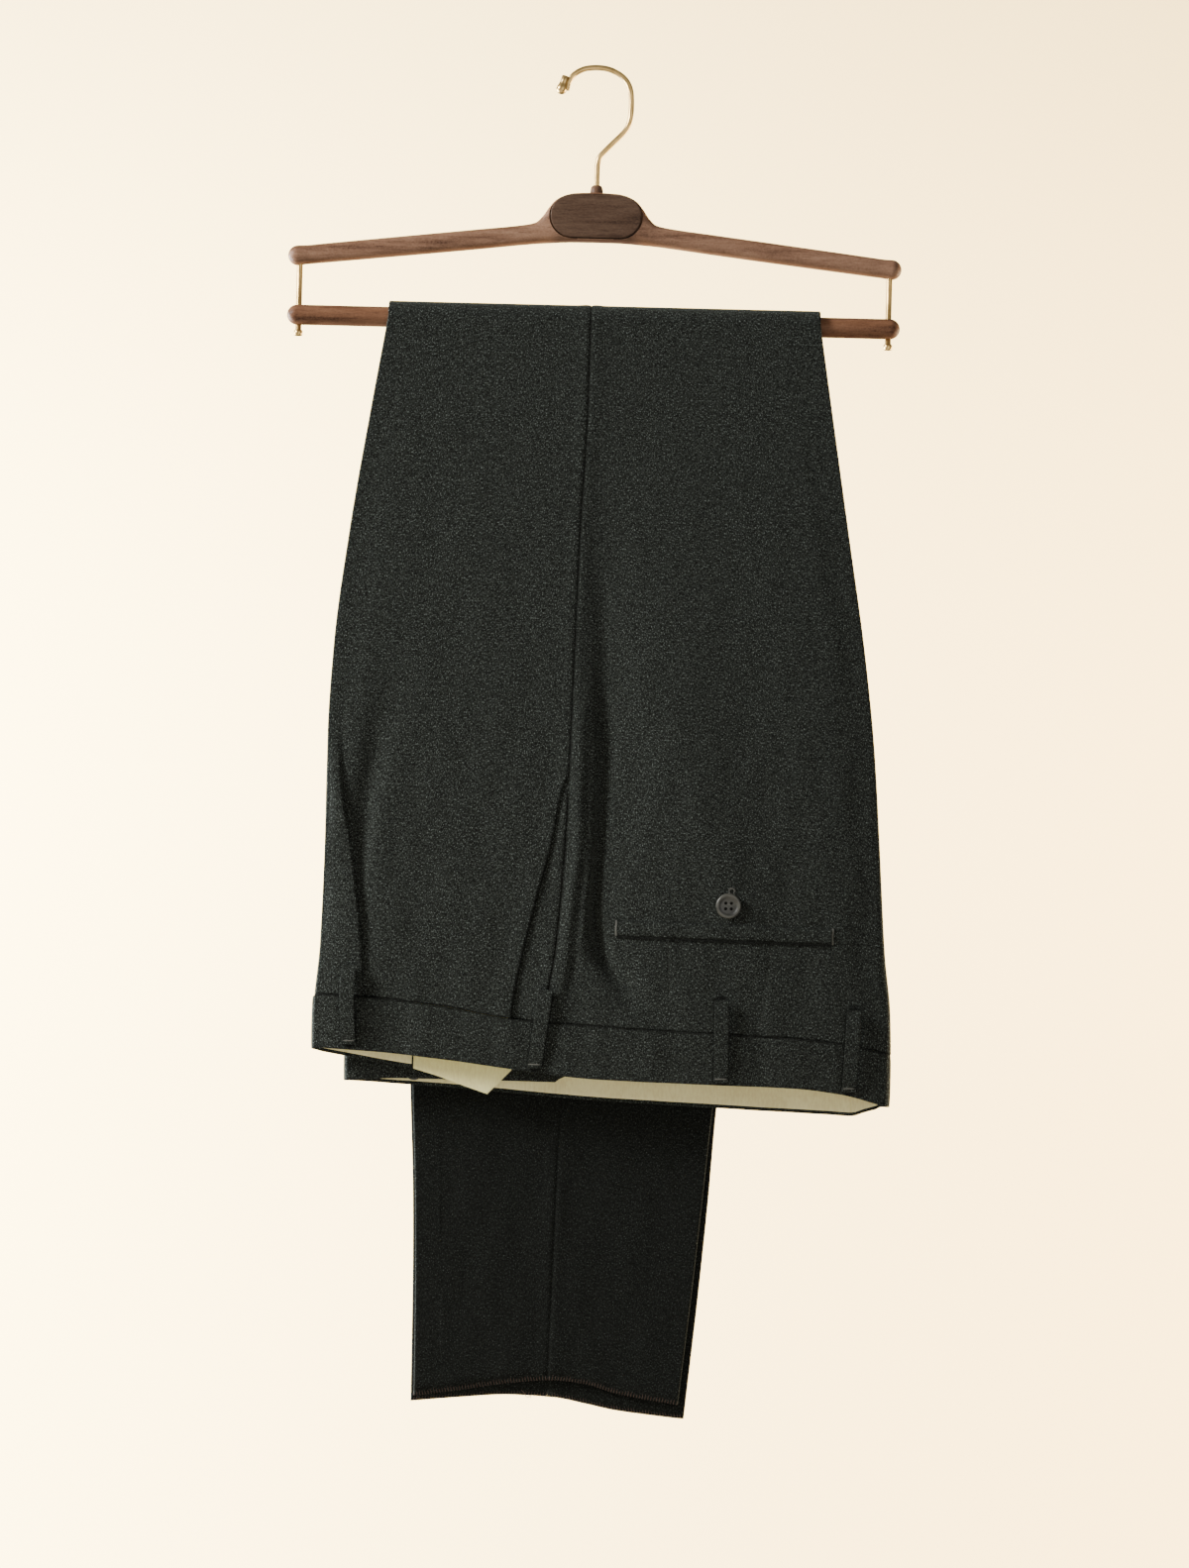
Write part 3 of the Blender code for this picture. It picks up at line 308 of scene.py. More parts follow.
def walnut(name, tint=(1.0, 1.0, 1.0), highlight_share=0.0):
    """Lacquered walnut: streaks and pores along X, a painted warm highlight on its marked
    edges and painted shade on its marked underside.
    """

    def paint(g):
        place = g.place()
        streak = g.noise(place, 260, 4, 0.6, stretch=(0.09, 1, 1))
        cloud = g.noise(place, 38, 2, 0.5, stretch=(0.3, 1, 1))
        pore = g.noise(place, 2300, 2, 0.6, stretch=(0.05, 1, 1)).band(0.60, 0.70)
        speck = g.noise(place, 1500, 2, 0.6, stretch=(0.5, 1, 1))
        tones = [tuple(a * b for a, b in zip(tone, tint)) for tone in WALNUT_TONES]
        stops = zip((0.36, 0.50, 0.72), tones)
        grain = g.node("ValToRGB", {"Fac": streak * 0.5 + cloud * 0.35 + speck * 0.25}, stops=stops)
        # Painted warm highlight along the rounded top and bottom edges.
        edge_highlight = g.mix(g.mark("edge_highlight") * highlight_share, grain, WALNUT_HIGHLIGHT)
        # Painted shade on the underside below the plate.
        shaded_under = g.mix(g.mark("under") * 0.8, edge_highlight, tones[0])
        return {
            "Base Color": g.mix(pore * 0.55, shaded_under, tones[0]),
            "Roughness": streak * 0.16 + 0.42 + pore * 0.2,
            "Normal": g.bump(streak * 0.4 - pore * 0.7, 0.00012, 0.7),
            "Coat Weight": 0.03,
            "Coat Roughness": 0.32,
            "Specular IOR Level": 0.12,
        }

    return finish(name, paint)


def hanger_rings():
    """Half the body as superellipses: r = (|cos|^n + |sin|^n)^(-1/n) times the half sizes."""
    x = np.concatenate([np.linspace(0, 50, 70), np.linspace(52, ARM_END, 70)])
    arm = [BODY(name, x) for name in ("top", "bottom", "depth", "squareness")]
    turn = np.radians(np.linspace(0, 90, 22))
    ball = BALL_RADIUS * np.cos(turn)
    ball = (BALL_HEIGHT + ball, BALL_HEIGHT - ball, ball, 2 + 0 * ball)
    top, bottom, depth, power = (np.concatenate(pair)[:, None] for pair in zip(arm, ball))
    x = np.concatenate([x, BALL_PLACE + BALL_RADIUS * np.sin(turn)])[:, None]
    angle = np.linspace(0, 2 * pi, 72, endpoint=False)[None, :]
    size = (np.abs(np.cos(angle)) ** power + np.abs(np.sin(angle)) ** power) ** (-1 / power)
    height = (top + bottom) / 2 + (top - bottom) / 2 * size * np.sin(angle)
    # The top and bottom of each section, marked for a painted warm highlight.
    edge = np.clip(np.abs(np.sin(angle)) * size - 0.6, 0, 0.4) / 0.4
    # Below the plate the underside gets painted shade in place of the painted edge highlight.
    middle = ease((UNDER_PLATE - x) / 12) * (np.sin(angle) < 0)
    return grid(x, depth * size * np.cos(angle), height), edge * (1 - middle), edge * middle


def stadium(name, material, margin, front, back, soft=0.0):
    """A flat plate with round ends: its outline, shrunk at the front for a soft edge."""
    angle = np.radians(np.linspace(-90, 90, 33))
    rows = []
    for y, inset in (
        (back, None), (back, 0.0), (front + soft, 0.0), (front + soft * 0.3, soft * 0.3),
        (front, soft), (front, 1.2), (front, None),
    ):
        radius = 0.0 if inset is None else PLATE_WIDTH / 2 + margin - inset
        straight = 0.0 if inset is None else (PLATE_LENGTH - PLATE_WIDTH) / 2
        x, z = straight + radius * np.cos(angle), radius * np.sin(angle)
        rows.append(grid(np.r_[x, -x], y, PLATE_HEIGHT + np.r_[z, -z]))
    return surface(name, np.array(rows), material, tube=True)


def cut(target, cutter):
    """Takes the cutter's volume out of a piece for good, and removes the cutter."""
    knife = target.modifiers.new("cut", "BOOLEAN")
    knife.object = cutter
    knife.material_mode = "TRANSFER"
    graph = bpy.context.evaluated_depsgraph_get()
    mesh = bpy.data.meshes.new_from_object(target.evaluated_get(graph))
    target.modifiers.clear()
    target.data = mesh
    bpy.data.objects.remove(cutter, do_unlink=True)


def sharpen(piece, degrees):
    """Keeps an edge sharp where its faces meet at more than an angle."""
    piece.data.set_sharp_from_angle(angle=radians(degrees))


def stand_for(piece, slot, *nodes):
    """Fixes a finished piece to the part, in place of the nodes it stands for."""
    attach(piece, "root")
    if nodes:
        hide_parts(*nodes)


half, *half_marks = hanger_rings()
# Marks for the painted warm highlight on the edges and the painted shade under the plate.
marks = {
    name: np.concatenate([mark[:0:-1], mark]) for name, mark in zip(("edge_highlight", "under"), half_marks)
}
points = np.concatenate([half[:0:-1] * (-1, 1, 1), half])
body_walnut = walnut("walnut_body", BODY_TINT, BODY_HIGHLIGHT)
hanger_body = surface("walnut_body", points, body_walnut, tube=True, marks=marks)
# The recess walls get a darker walnut: painted shade in the groove round the plate.
recess_shade_walnut = walnut("recess", RECESS_SHADE, BODY_HIGHLIGHT)
cut(hanger_body, stadium("recess", recess_shade_walnut, PLATE_GROOVE, RECESS_FRONT, RECESS_BACK))
sharpen(hanger_body, 40)
stand_for(hanger_body, "wood", "hanger_body")

# ---------------------------------------------------------------- label plate
# A thin oval of greyer walnut, let into the body with a groove left round it, whose walls are
# darkened with painted shade.
# It is bare.
PLATE_FRONT, PLATE_SOFT, PLATE_TINT = -8.35, 0.35, (0.62, 0.66, 0.70)
plate_walnut = walnut("plate_walnut", PLATE_TINT)
plate = stadium("label_plate", plate_walnut, 0.0, PLATE_FRONT, PLATE_BACK, soft=PLATE_SOFT)
sharpen(plate, 50)
stand_for(plate, "plate", "hanger_plate")

# ---------------------------------------------------------------- hook
# Brass-plated wire 3.5 mm thick, bent to a bow over the rail and turned down into a
# wooden collar. Its end holds a cast bulb with a short sleeve.
BRASS_COLOUR, BRASS_MOTTLE, BRASS_TINT = (0.66, 0.45, 0.18), (0.50, 0.33, 0.12), (0.45, 0.30, 0.14)
WIRE_RADIUS = 1.75
HOOK_ROUTE = (
    (-21.3, -13.4), (-20.5, -9.6), (-18.9, -6), (-16.3, -2.6), (-10.7, 0.6), (-4.7, 1.75),
    (1.7, 1.75), (7.9, 0.4), (14.2, -2.9), (18.3, -7), (20.7, -12.5), (21.4, -19),
    (21.4, -25.7), (20.7, -32), (18.9, -37.4), (15.2, -42.1), (10.1, -47.2), (4.9, -52.6),
    (1.4, -56.8), (0.3, -61), (0, -66), (0, -88),
)
TIP_PLACE, TIP_LEAN = (-24.6, 0.0, -12.6), radians(17)
TIP_PROFILE = (
    (0, 8.8), (2.2, 8.8), (2.45, 8.5), (2.5, 5), (2.6, 3.6), (2.8, 2.9), (3.2, 1.7),
    (3.55, 0.2), (3.3, -1.4), (2.5, -2.6), (1.4, -3.3), (0, -3.6),
)
COLLAR_PROFILE = (
    (0, -75.6), (2.4, -75.6), (3, -75.9), (3.6, -76.7), (4, -78.2), (4.2, -80.2), (4.3, -81.4),
    (0, -81.4),
)


def polished_brass(g):
    """Paint of plated brass: a little mottled, with fine wipe marks in its roughness."""
    mottle = g.noise(g.place(), 180, 3)
    wipe = g.noise(g.place(), 1400, 2, 0.6, stretch=(1, 1, 0.2))
    return {
        "Base Color": g.mix(mottle.band(0.35, 0.75), BRASS_COLOUR, BRASS_MOTTLE),
        "Metallic": 1.0,
        "Specular Tint": BRASS_TINT,
        "Roughness": wipe * 0.12 + 0.26,
        "Normal": g.bump(wipe, 0.00003, 0.5),
    }


def through(points, steps):
    """A smooth curve through its points (Catmull-Rom), with steps from one to the next."""
    points = np.array(points, float)
    ends = np.vstack([2 * points[0] - points[1], points, 2 * points[-1] - points[-2]])
    before, start, stop, after = (ends[i : len(ends) - 3 + i, None] for i in range(4))
    t = np.linspace(0, 1, steps, endpoint=False)[None, :, None]
    curve = 2 * start + (stop - before) * t + (2 * before - 5 * start + 4 * stop - after) * t**2
    curve = (curve + (3 * start - before - 3 * stop + after) * t**3) / 2
    return np.vstack([curve.reshape(-1, points.shape[1]), points[-1:]])


def tube_rows(path, radius, sides, upright=(0.0, 1.0, 0.0)):
    """Rings across a path: each stands on the path's direction and on the upright's cross."""
    run = np.gradient(path, axis=-2)
    run /= np.linalg.norm(run, axis=-1, keepdims=True)
    across = np.cross(run, upright)
    across /= np.linalg.norm(across, axis=-1, keepdims=True)
    rise = np.cross(run, across)
    turn = np.linspace(0, 2 * pi, sides, endpoint=False)[:, None]
    ring = across[..., None, :] * np.cos(turn) + rise[..., None, :] * np.sin(turn)
    return path[..., None, :] + ring * np.broadcast_to(radius, path.shape[:-1])[..., None, None]


def turned(name, profile, material, sides, place=(0, 0, 0), axes=np.eye(3), marks=None):
    """A lathe shape from (r, h) rows: r (cos t X + sin t Y) + h Z, with X, Y and Z in axes."""
    radius, height = np.array(profile, float).T[:, :, None, None]
    turn = np.linspace(0, 2 * pi, sides, endpoint=False)[:, None]
    ring = np.cos(turn) * np.array(axes[0]) + np.sin(turn) * np.array(axes[1])
    points = radius * ring + height * np.array(axes[2]) + np.array(place)
    return surface(name, points, material, tube=True, marks=marks)


brass = finish("brass", polished_brass)
route = through([(x, 0.0, z) for x, z in HOOK_ROUTE], 8)
rings = tube_rows(route, WIRE_RADIUS, 28)
rings = np.concatenate([rings[:1] * 0 + route[0], rings, rings[:1] * 0 + route[-1]])
stand_for(surface("brass_hook", rings, brass, tube=True), "brass", "hook")
lean = ((cos(TIP_LEAN), 0, -sin(TIP_LEAN)), (0, 1, 0), (sin(TIP_LEAN), 0, cos(TIP_LEAN)))
stand_for(turned("hook_bulb", TIP_PROFILE, brass, 40, TIP_PLACE, lean), "brass", "hook_tip")
collar = turned("hook_collar_nub", COLLAR_PROFILE, walnut("collar_walnut"), 40)
sharpen(collar, 50)
stand_for(collar, "wood", "hook_collar")

# ---------------------------------------------------------------- rods and bar
# Two brass rods hang from the balls. The round walnut bar slides on them and rests on
# their turned knobs, and its ends are domed.
ROD_PLACE, ROD_RADIUS, ROD_TOP = 193.4, 1.9, -123.5
KNOB_TOP, KNOB_RADIUS, KNOB_BOTTOM = -175.0, 2.8, -178.9
BAR_HEIGHT, BAR_RADIUS, BAR_LENGTH = -165.0, 6.6, 402.0
BAR_TINT, ALONG_X = (1.30, 1.12, 0.98), ((0, 1, 0), (0, 0, 1), (1, 0, 0))

bar_end = BAR_LENGTH / 2 - BAR_RADIUS
dome = np.radians(np.linspace(90, 0, 14))
half_bar = [(BAR_RADIUS * np.cos(a), bar_end + BAR_RADIUS * np.sin(a)) for a in dome]
half_bar += [(BAR_RADIUS, x) for x in np.linspace(bar_end - 4, 4, 30)]
bar_profile = half_bar + [(radius, -x) for radius, x in half_bar[::-1]]
bar_walnut = walnut("bar_walnut", BAR_TINT)
bar = turned("walnut_bar", bar_profile, bar_walnut, 48, (0, 0, BAR_HEIGHT), ALONG_X)
stand_for(bar, "wood", "bar")
rod_profile = (
    (0.0, ROD_TOP), (ROD_RADIUS, ROD_TOP), (ROD_RADIUS, KNOB_TOP + 0.1), (2.0, KNOB_TOP),
    (2.5, KNOB_TOP - 0.2), (KNOB_RADIUS, KNOB_TOP - 0.6), (KNOB_RADIUS, KNOB_BOTTOM + 0.9),
    (2.5, KNOB_BOTTOM + 0.3), (1.9, KNOB_BOTTOM), (0.0, KNOB_BOTTOM),
)
for end, way in (("left", -1), ("right", 1)):
    rod = turned(f"{end}_brass_rod", rod_profile, brass, 32, (way * ROD_PLACE, 0, 0))
    sharpen(rod, 50)
    stand_for(rod, "brass", f"rod_{end}")

# ---------------------------------------------------------------- legs
# Four panels of milled wool flannel, sewn into two legs and laid on each other, so that
# four layers pass over the bar: each leg's outer (lateral) and inner (medial) side. The
# near drop ends at the waist, the rear drop at a raw hem. Each front has one pleat.
SIDES, PARTS = {"right": 1, "left": -1}, {"front": 1, "back": -1}
NEAR = Shape(
    "height right_front seam right_back left_front left_back",
    (-165, -133.7, -1.5, 148.2, -132.4, 146.9), (-225, -143.5, -2, 157.8, -142.3, 156.5),
    (-303, -155.3, -5, 170.4, -154, 168.7), (-381, -164.1, -6.7, 182.9, -162.2, 179.9),
    (-440, -166.6, -7.8, 190.1, -163.5, 186.8), (-497, -166.6, -9, 194.6, -161.5, 193),
    (-574, -168, -14, 200.1, -156, 197.2), (-613, -170.9, -19.4, 204.5, -152.4, 192.5),
    (-642, -171.5, -21.5, 205.4, -150.8, 187.5), (-681, -171.3, -23.5, 202.8, -149.9, 181.5),
)
REAR = Shape(
    "height right_front seam right_back left_front left_back",
    (-165, -133.7, -1.5, 148.2, -132.4, 146.9), (-680, -107.3, -9, 93.4, -105.7, 90.9),
    (-740, -104.4, -10.4, 89.5, -102.8, 85.6), (-800, -103.1, -11.7, 84.7, -101.3, 80.2),
    (-885, -102.5, -13.6, 76.8, -100.4, 71.6),
)
HEM = Shape(
    "x left right",
    (-102, -873.2, -877.2), (-70, -868.4, -874), (-38, -863.1, -871.6), (-8, -860.7, -872.8),
    (12, -862.7, -876.4), (32, -868.4, -880.3), (74, -875.2, -884.8),
)
# Medial edges of the panels below the fork: fly edges in front, seat seam behind.
FORK = Shape(
    "height right_front left_front back",
    (-403, -7, -7, -7), (-412, -38, -30, 9), (-430, -72, -50, 27), (-450, -89, -57, 42),
    (-480, -100, -60, 75), (-512, -104, -61, 107), (-569, -106, -61.5, 153),
    (-626, -106.5, -62, 174), (-681, -106.5, -62, 181),
)
# Waist seam and lower edge of the waistband on each layer.
WAIST = {
    "right_lateral": Shape(
        "x seam edge",
        (-171, -609.1, -643.9), (-139, -610.2, -645.2), (-85, -615.3, -649.7),
        (-42, -622, -654.6), (12, -625.3, -659.8), (77, -628, -661.4), (141, -630.3, -662.7),
        (173, -633.3, -666.1), (203, -639, -673.6),
    ),
    "right_medial": Shape(
        "x seam edge",
        (-171, -612.5, -646.1), (-150, -616, -649.5), (-106, -622.6, -656.2), (181, -648, -681),
        (190, -645.2, -678.2), (203, -641, -674.6),
    ),
    "left_lateral": Shape(
        "x seam edge",
        (-150, -633, -666.4), (-84, -636, -669.3), (12, -640.6, -675.7), (78, -642.4, -678.2),
        (143, -645, -680.3), (181, -648, -681),
    ),
    "left_medial": Shape(
        "x seam edge",
        (-150, -632, -665.8), (-111, -629.3, -663.6), (-8, -630.7, -663.7), (170, -648, -681),
        (181, -648, -681),
    ),
}
# Reach is a layer's distance from the upright plane through the bar.
REACH_OVER_BAR = {
    "left_lateral": 7.2, "left_medial": 8.2, "right_medial": 9.2, "right_lateral": 10.2,
}
HEM_REACH = {
    "left_lateral": 7.6, "left_medial": 9.5, "right_medial": 11.6, "right_lateral": 13.8,
}
WAIST_REACH = {
    "right_lateral": Shape(
        "x reach",
        (-171, 19), (-139, 19.5), (-80, 22.5), (-20, 25), (40, 27.5), (100, 27), (160, 24),
        (203, 19.8),
    ),
    "right_medial": Shape("x reach", (-171, 12.5), (-100, 12.5), (100, 10.4), (203, 10.4)),
    "left_medial": Shape("x reach", (-150, 6.5), (-60, 6.5), (20, 8.5), (186, 8.5)),
    "left_lateral": Shape(
        "x reach", (-150, -0.5), (90, -1.0), (140, 1.0), (165, 4.5), (178, 7.0), (196, 7.2)
    ),
}
# The pleat: its folded edge behind the front fold, how far its layers turn, its depth, and
# how far its top layer falls away from that edge to the front fold.
PLEAT = Shape(
    "height right_edge left_edge turn depth fall",
    (-430, 5.1, 12, 0, 0.8, 0), (-445, 6.2, 13.4, 15, 0.8, 0.4), (-476, 9.6, 16.2, 95, 0.8, 1.8),
    (-505, 15.2, 19.4, 180, 1.5, 3.6), (-555, 23.5, 20.7, 180, 5.5, 5.2),
    (-584, 27.7, 20.3, 180, 8, 4.8), (-613, 31.1, 18, 180, 10, 3.8),
)
# Edge of the front panel along the slanted pocket.
POCKET = Shape(
    "height edge",
    (-455, 20), (-462, -9.3), (-511, -19.7), (-542, -27.5), (-597, -39.4), (-617, -42.4),
)
POCKET_TOP = -466.0
# Soft folds: centre, height out of the cloth, and width in front and behind.
SOFT_FOLDS = tuple(
    Shape("height centre rise front back", *rows)
    for rows in (
        # The deep crease behind the side seam, and the wide hollow that it lies in.
        (
            (-330, 10.6, 0, 5, 7), (-395, 11.2, -0.8, 4.6, 7), (-440, 12.4, -1.7, 4.2, 7),
            (-497, 12, -2.4, 3.8, 6), (-522, 10.1, -3.2, 3.2, 5), (-548, 9.1, -3.8, 2.8, 4.5),
            (-568, 12.1, -3.6, 3.2, 5), (-581, 15.8, -2.9, 4, 6), (-598, 28, -1.5, 6, 9),
            (-615, 38.6, 0, 8, 10),
        ),
        (
            (-225, 8.5, 0, 12, 18), (-300, 10.5, -0.9, 11, 20), (-400, 15, -1.9, 9, 20),
            (-444, 16, -2.5, 8, 24), (-497, 13.5, -2.6, 6, 24), (-555, 12.5, -2.6, 6, 20),
            (-591, 23, -2.2, 9, 15), (-610, 36, -1.2, 10, 12), (-624, 42, 0, 12, 14),
        ),
        # Two rolls between the side seam and the crease, parted by a shallow groove.
        (
            (-410, -0.5, 0, 4, 4), (-430, -0.8, 0.8, 4, 3.2), (-502, -0.9, 1.5, 4, 3),
            (-548, -4.9, 1.7, 4, 3.2), (-600, -9, 0.8, 4, 4), (-618, -11, 0, 5, 5),
        ),
        (
            (-420, 7.6, 0, 2, 2.4), (-440, 7.8, 0.5, 2, 2.4), (-502, 7.9, 0.9, 2, 2.2),
            (-548, 4, 1.2, 2, 2.2), (-575, 2, 0.6, 2.4, 3), (-596, 2, 0, 3, 3),
        ),
        # The hollow in the shade of the pleat.
        (
            (-400, -127, 0, 14, 12), (-437, -133, -1.4, 10, 9), (-477, -140, -2.6, 8, 8),
            (-523, -144, -3, 8, 7), (-548, -142, -1.6, 6, 7), (-585, -138, 0, 6, 8),
        ),
        # Broad light and shade down the seat.
        (
            (-330, 60, 0, 30, 30), (-420, 66, 1.2, 26, 22), (-500, 84, 1.6, 22, 18),
            (-560, 96, 0.8, 20, 18), (-600, 100, 0, 20, 20),
        ),
    )
)
FOLD_STRENGTH = {"right": 1.55, "left": 0.4}
# Fine creases and dart seams: both ends (x, height), rise and width.
CREASES = (
    (-1.2, -577, -8, -612, -0.8, 2.2), (58.5, -572, 60.5, -606, -0.45, 1.1),
    (125.6, -575, 119.5, -623, -0.45, 1.1),
)
# Slow ripples: waves across and along per metre, phase, and height at the waist.
RIPPLES = (
    (21, 4, 0.4, 0.30), (34, -9, 1.9, 0.22), (52, 13, 4.1, 0.14), (12, 23, 2.7, 0.16),
)
# The second value is how far in mm painted shade reaches from a seam.
SEAM_RIDGE, SEAM_SHADE_REACH, SEAM_GAP = 0.45, 4.0, 0.12
CLOTH, CREASE_RADIUS, PLEAT_ROUND = 0.8, 0.6, 1.8
BEND_STEPS, DEPTH_STEPS, FOLD_STEPS = 7, 6, 13
# The height where the waist's seam and pleat are read, and one below every waist.
WAIST_READ, BELOW = -620.0, -700.0
# FLANNEL_SHADE is the colour of painted shade; BEHIND_SHADE is how much of it darkens the cloth
# hanging behind the bar.
FLANNEL_DARK, FLANNEL_MIDDLE = (0.0022, 0.0026, 0.0021), (0.0274, 0.0320, 0.0280)
FLANNEL_PALE, FLANNEL_SHADE = (0.230, 0.274, 0.258), (0.0010, 0.0012, 0.0009)
BEHIND_SHADE, TWILL_LINES = 0.70, 1100
LOOP_WIDTH, LOOP_WALL, LOOP_SWAY, LOOP_SHADE = 9.2, 1.4, 2.2, 1.15
# Belt loops: name, layer, upper x and height, lower x and height, bow
BELT_LOOPS = (
    ("right_front", "right_lateral", -146.8, -589.6, -147.5, -641.2, 2.6),
    ("right_side", "right_lateral", -20.0, -602.6, -26.4, -653.6, 2.2),
    ("right_back", "right_lateral", 94.2, -606.2, 94.8, -660.0, 1.8),
    ("right_seat", "right_lateral", 180.6, -611.2, 178.2, -664.4, 2.6),
    ("left_seat", "left_lateral", 133.0, -623.0, 133.0, -675.4, 1.2),
    ("left_back", "left_lateral", 48.0, -620.0, 48.0, -672.6, 1.2),
    ("left_side", "left_lateral", -70.0, -615.0, -70.0, -667.6, 1.2),
    ("left_front", "left_medial", -104.0, -609.0, -104.0, -659.6, 1.0),
)


def blend(first, second, share):
    """first (1 - share) + second share"""
    return first * (1 - share) + second * share


def bell(distance, width, power=2):
    """exp(-(distance / width)^power)"""
    return np.exp(-((distance / width) ** power))


def seam_relief(distance, wide=7.0, dip=0.55, narrow=1.3):
    """Relief beside a seam: a pressed ridge, with a dip along the stitches."""
    return SEAM_RIDGE * bell(distance, wide, 4) - dip * bell(distance, narrow)


def soft_relief(side, x, height):
    """Sum of the soft folds, each a smooth bump with its own width in front and behind."""
    rise = 0.0
    for fold in SOFT_FOLDS:
        centre = fold("centre", height)
        width = np.where(x < centre, fold("front", height), fold("back", height))
        rise = rise + fold("rise", height) * bell(x - centre, width)
    return rise * FOLD_STRENGTH[side]


def fine_relief(x, height, share):
    """Creases, each a bump across a line that fades at its ends, and slow ripples."""
    rise = 0.0
    for x_0, z_0, x_1, z_1, top, width in CREASES:
        run = np.array([x_1 - x_0, z_1 - z_0])
        length = np.hypot(*run)
        along = ((x - x_0) * run[0] + (height - z_0) * run[1]) / length**2
        aside = ((x - x_0) * run[1] - (height - z_0) * run[0]) / length
        rise = rise + top * ease(along * 8) * ease((1 - along) * 8) * bell(aside, width)
    for across, down, phase, top in RIPPLES:
        rise = rise + top * share * np.sin(2 * pi * (across * x + down * height) * MM + phase)
    return rise


def waist(layer, x, line="seam"):
    """Height of a layer's waist seam at x, or of the lower edge of its band."""
    return WAIST[layer](line, x)


def reach(layer, x, height):
    """Reach of a layer's middle surface.

    It leaves the bar as a flat sheet and swells towards the waist with a power of the
    share of the drop: 1.7 in the middle of the cloth and up to 3.2 beside its folds.
    """
    start, end = REACH_OVER_BAR[layer], WAIST_REACH[layer]("reach", x)
    share = np.clip((BAR_HEIGHT - height) / (BAR_HEIGHT - waist(layer, x)), 0, 1)
    side, part = layer.split("_")
    to_fold = np.minimum(x - NEAR(side + "_front", height), NEAR(side + "_back", height) - x)
    near_fold = ease(1 - to_fold / 25)
    value = start + (end - start) * share ** (1.7 + 1.5 * near_fold)
    if part == "lateral":
        fine = fine_relief(x, height, share) * ease(to_fold / 8)
        value = value + SIDES[side] * (soft_relief(side, x, height) * (1 - near_fold) + fine)
    return value


def drop_height(layer, x, share):
    """Height at a share of the near drop, in the column that ends at x on the waist seam."""
    return BAR_HEIGHT + (waist(layer, x) + SEAM_GAP - BAR_HEIGHT) * share


def pleat_walk(height):
    """Steps (along, down) of the pleat, from its top layer to the cloth underneath.

    Each of its two bends turns by the same angle in equal steps, and its depth lies
    between them at the full angle.
    """
    mid = (np.arange(BEND_STEPS) + 0.5) / BEND_STEPS
    angle = np.radians(PLEAT("turn", height))
    angle = angle * np.concatenate([mid, np.ones(DEPTH_STEPS), mid[::-1]])
    bend = np.full((len(height), BEND_STEPS), pi * CREASE_RADIUS / BEND_STEPS)
    depth = np.repeat(PLEAT("depth", height) / DEPTH_STEPS, DEPTH_STEPS, axis=1)
    length = np.hstack([bend, depth, bend])
    return length * np.cos(angle), length * np.sin(angle)


def pleat_edge(side, height):
    """The x of the pleat's folded edge."""
    return NEAR(side + "_front", height) + PLEAT(side + "_edge", height)


def pleat_lift(side, x):
    """How far the pleat's three layers push the band out, less their fall to the fold."""
    lift = pleat_walk(np.array([[WAIST_READ]]))[1].sum()
    edge = pleat_edge(side, WAIST_READ)
    to_fold = (edge - x) / (edge - NEAR(side + "_front", WAIST_READ))
    lift = lift * (1 - ease((x - edge) / 16))
    return lift - PLEAT("fall", WAIST_READ) * np.clip(to_fold, 0, 1) ** PLEAT_ROUND


def waist_turn(side, part):
    """Where the lateral cloth starts its half turn at the waist: the fold less the radius."""
    edge = NEAR(side + "_" + part, -640.0)
    lateral, medial = (reach(f"{side}_{name}", edge, BELOW) for name in ("lateral", "medial"))
    lift = pleat_lift(side, edge) if part == "front" else 0.0
    return edge + PARTS[part] * (abs(lateral - medial) + lift) / 2


def front_edge(height, side_seam):
    """Edge of the front panel beside the side seam, cut back along the pocket."""
    return np.minimum(side_seam - SEAM_GAP, POCKET("edge", height))


def half_turn(edge, lateral, medial, inward, high, low):
    """The half turn between two layers, as arrays of x, reach and height."""
    radius = (lateral - medial) / 2
    angle = np.linspace(0, pi, FOLD_STEPS + 1)[1:-1]
    x = edge + inward * np.abs(radius) * (1 - np.sin(angle))
    return x, medial + radius * (1 + np.cos(angle)), high + (low - high) * angle / pi


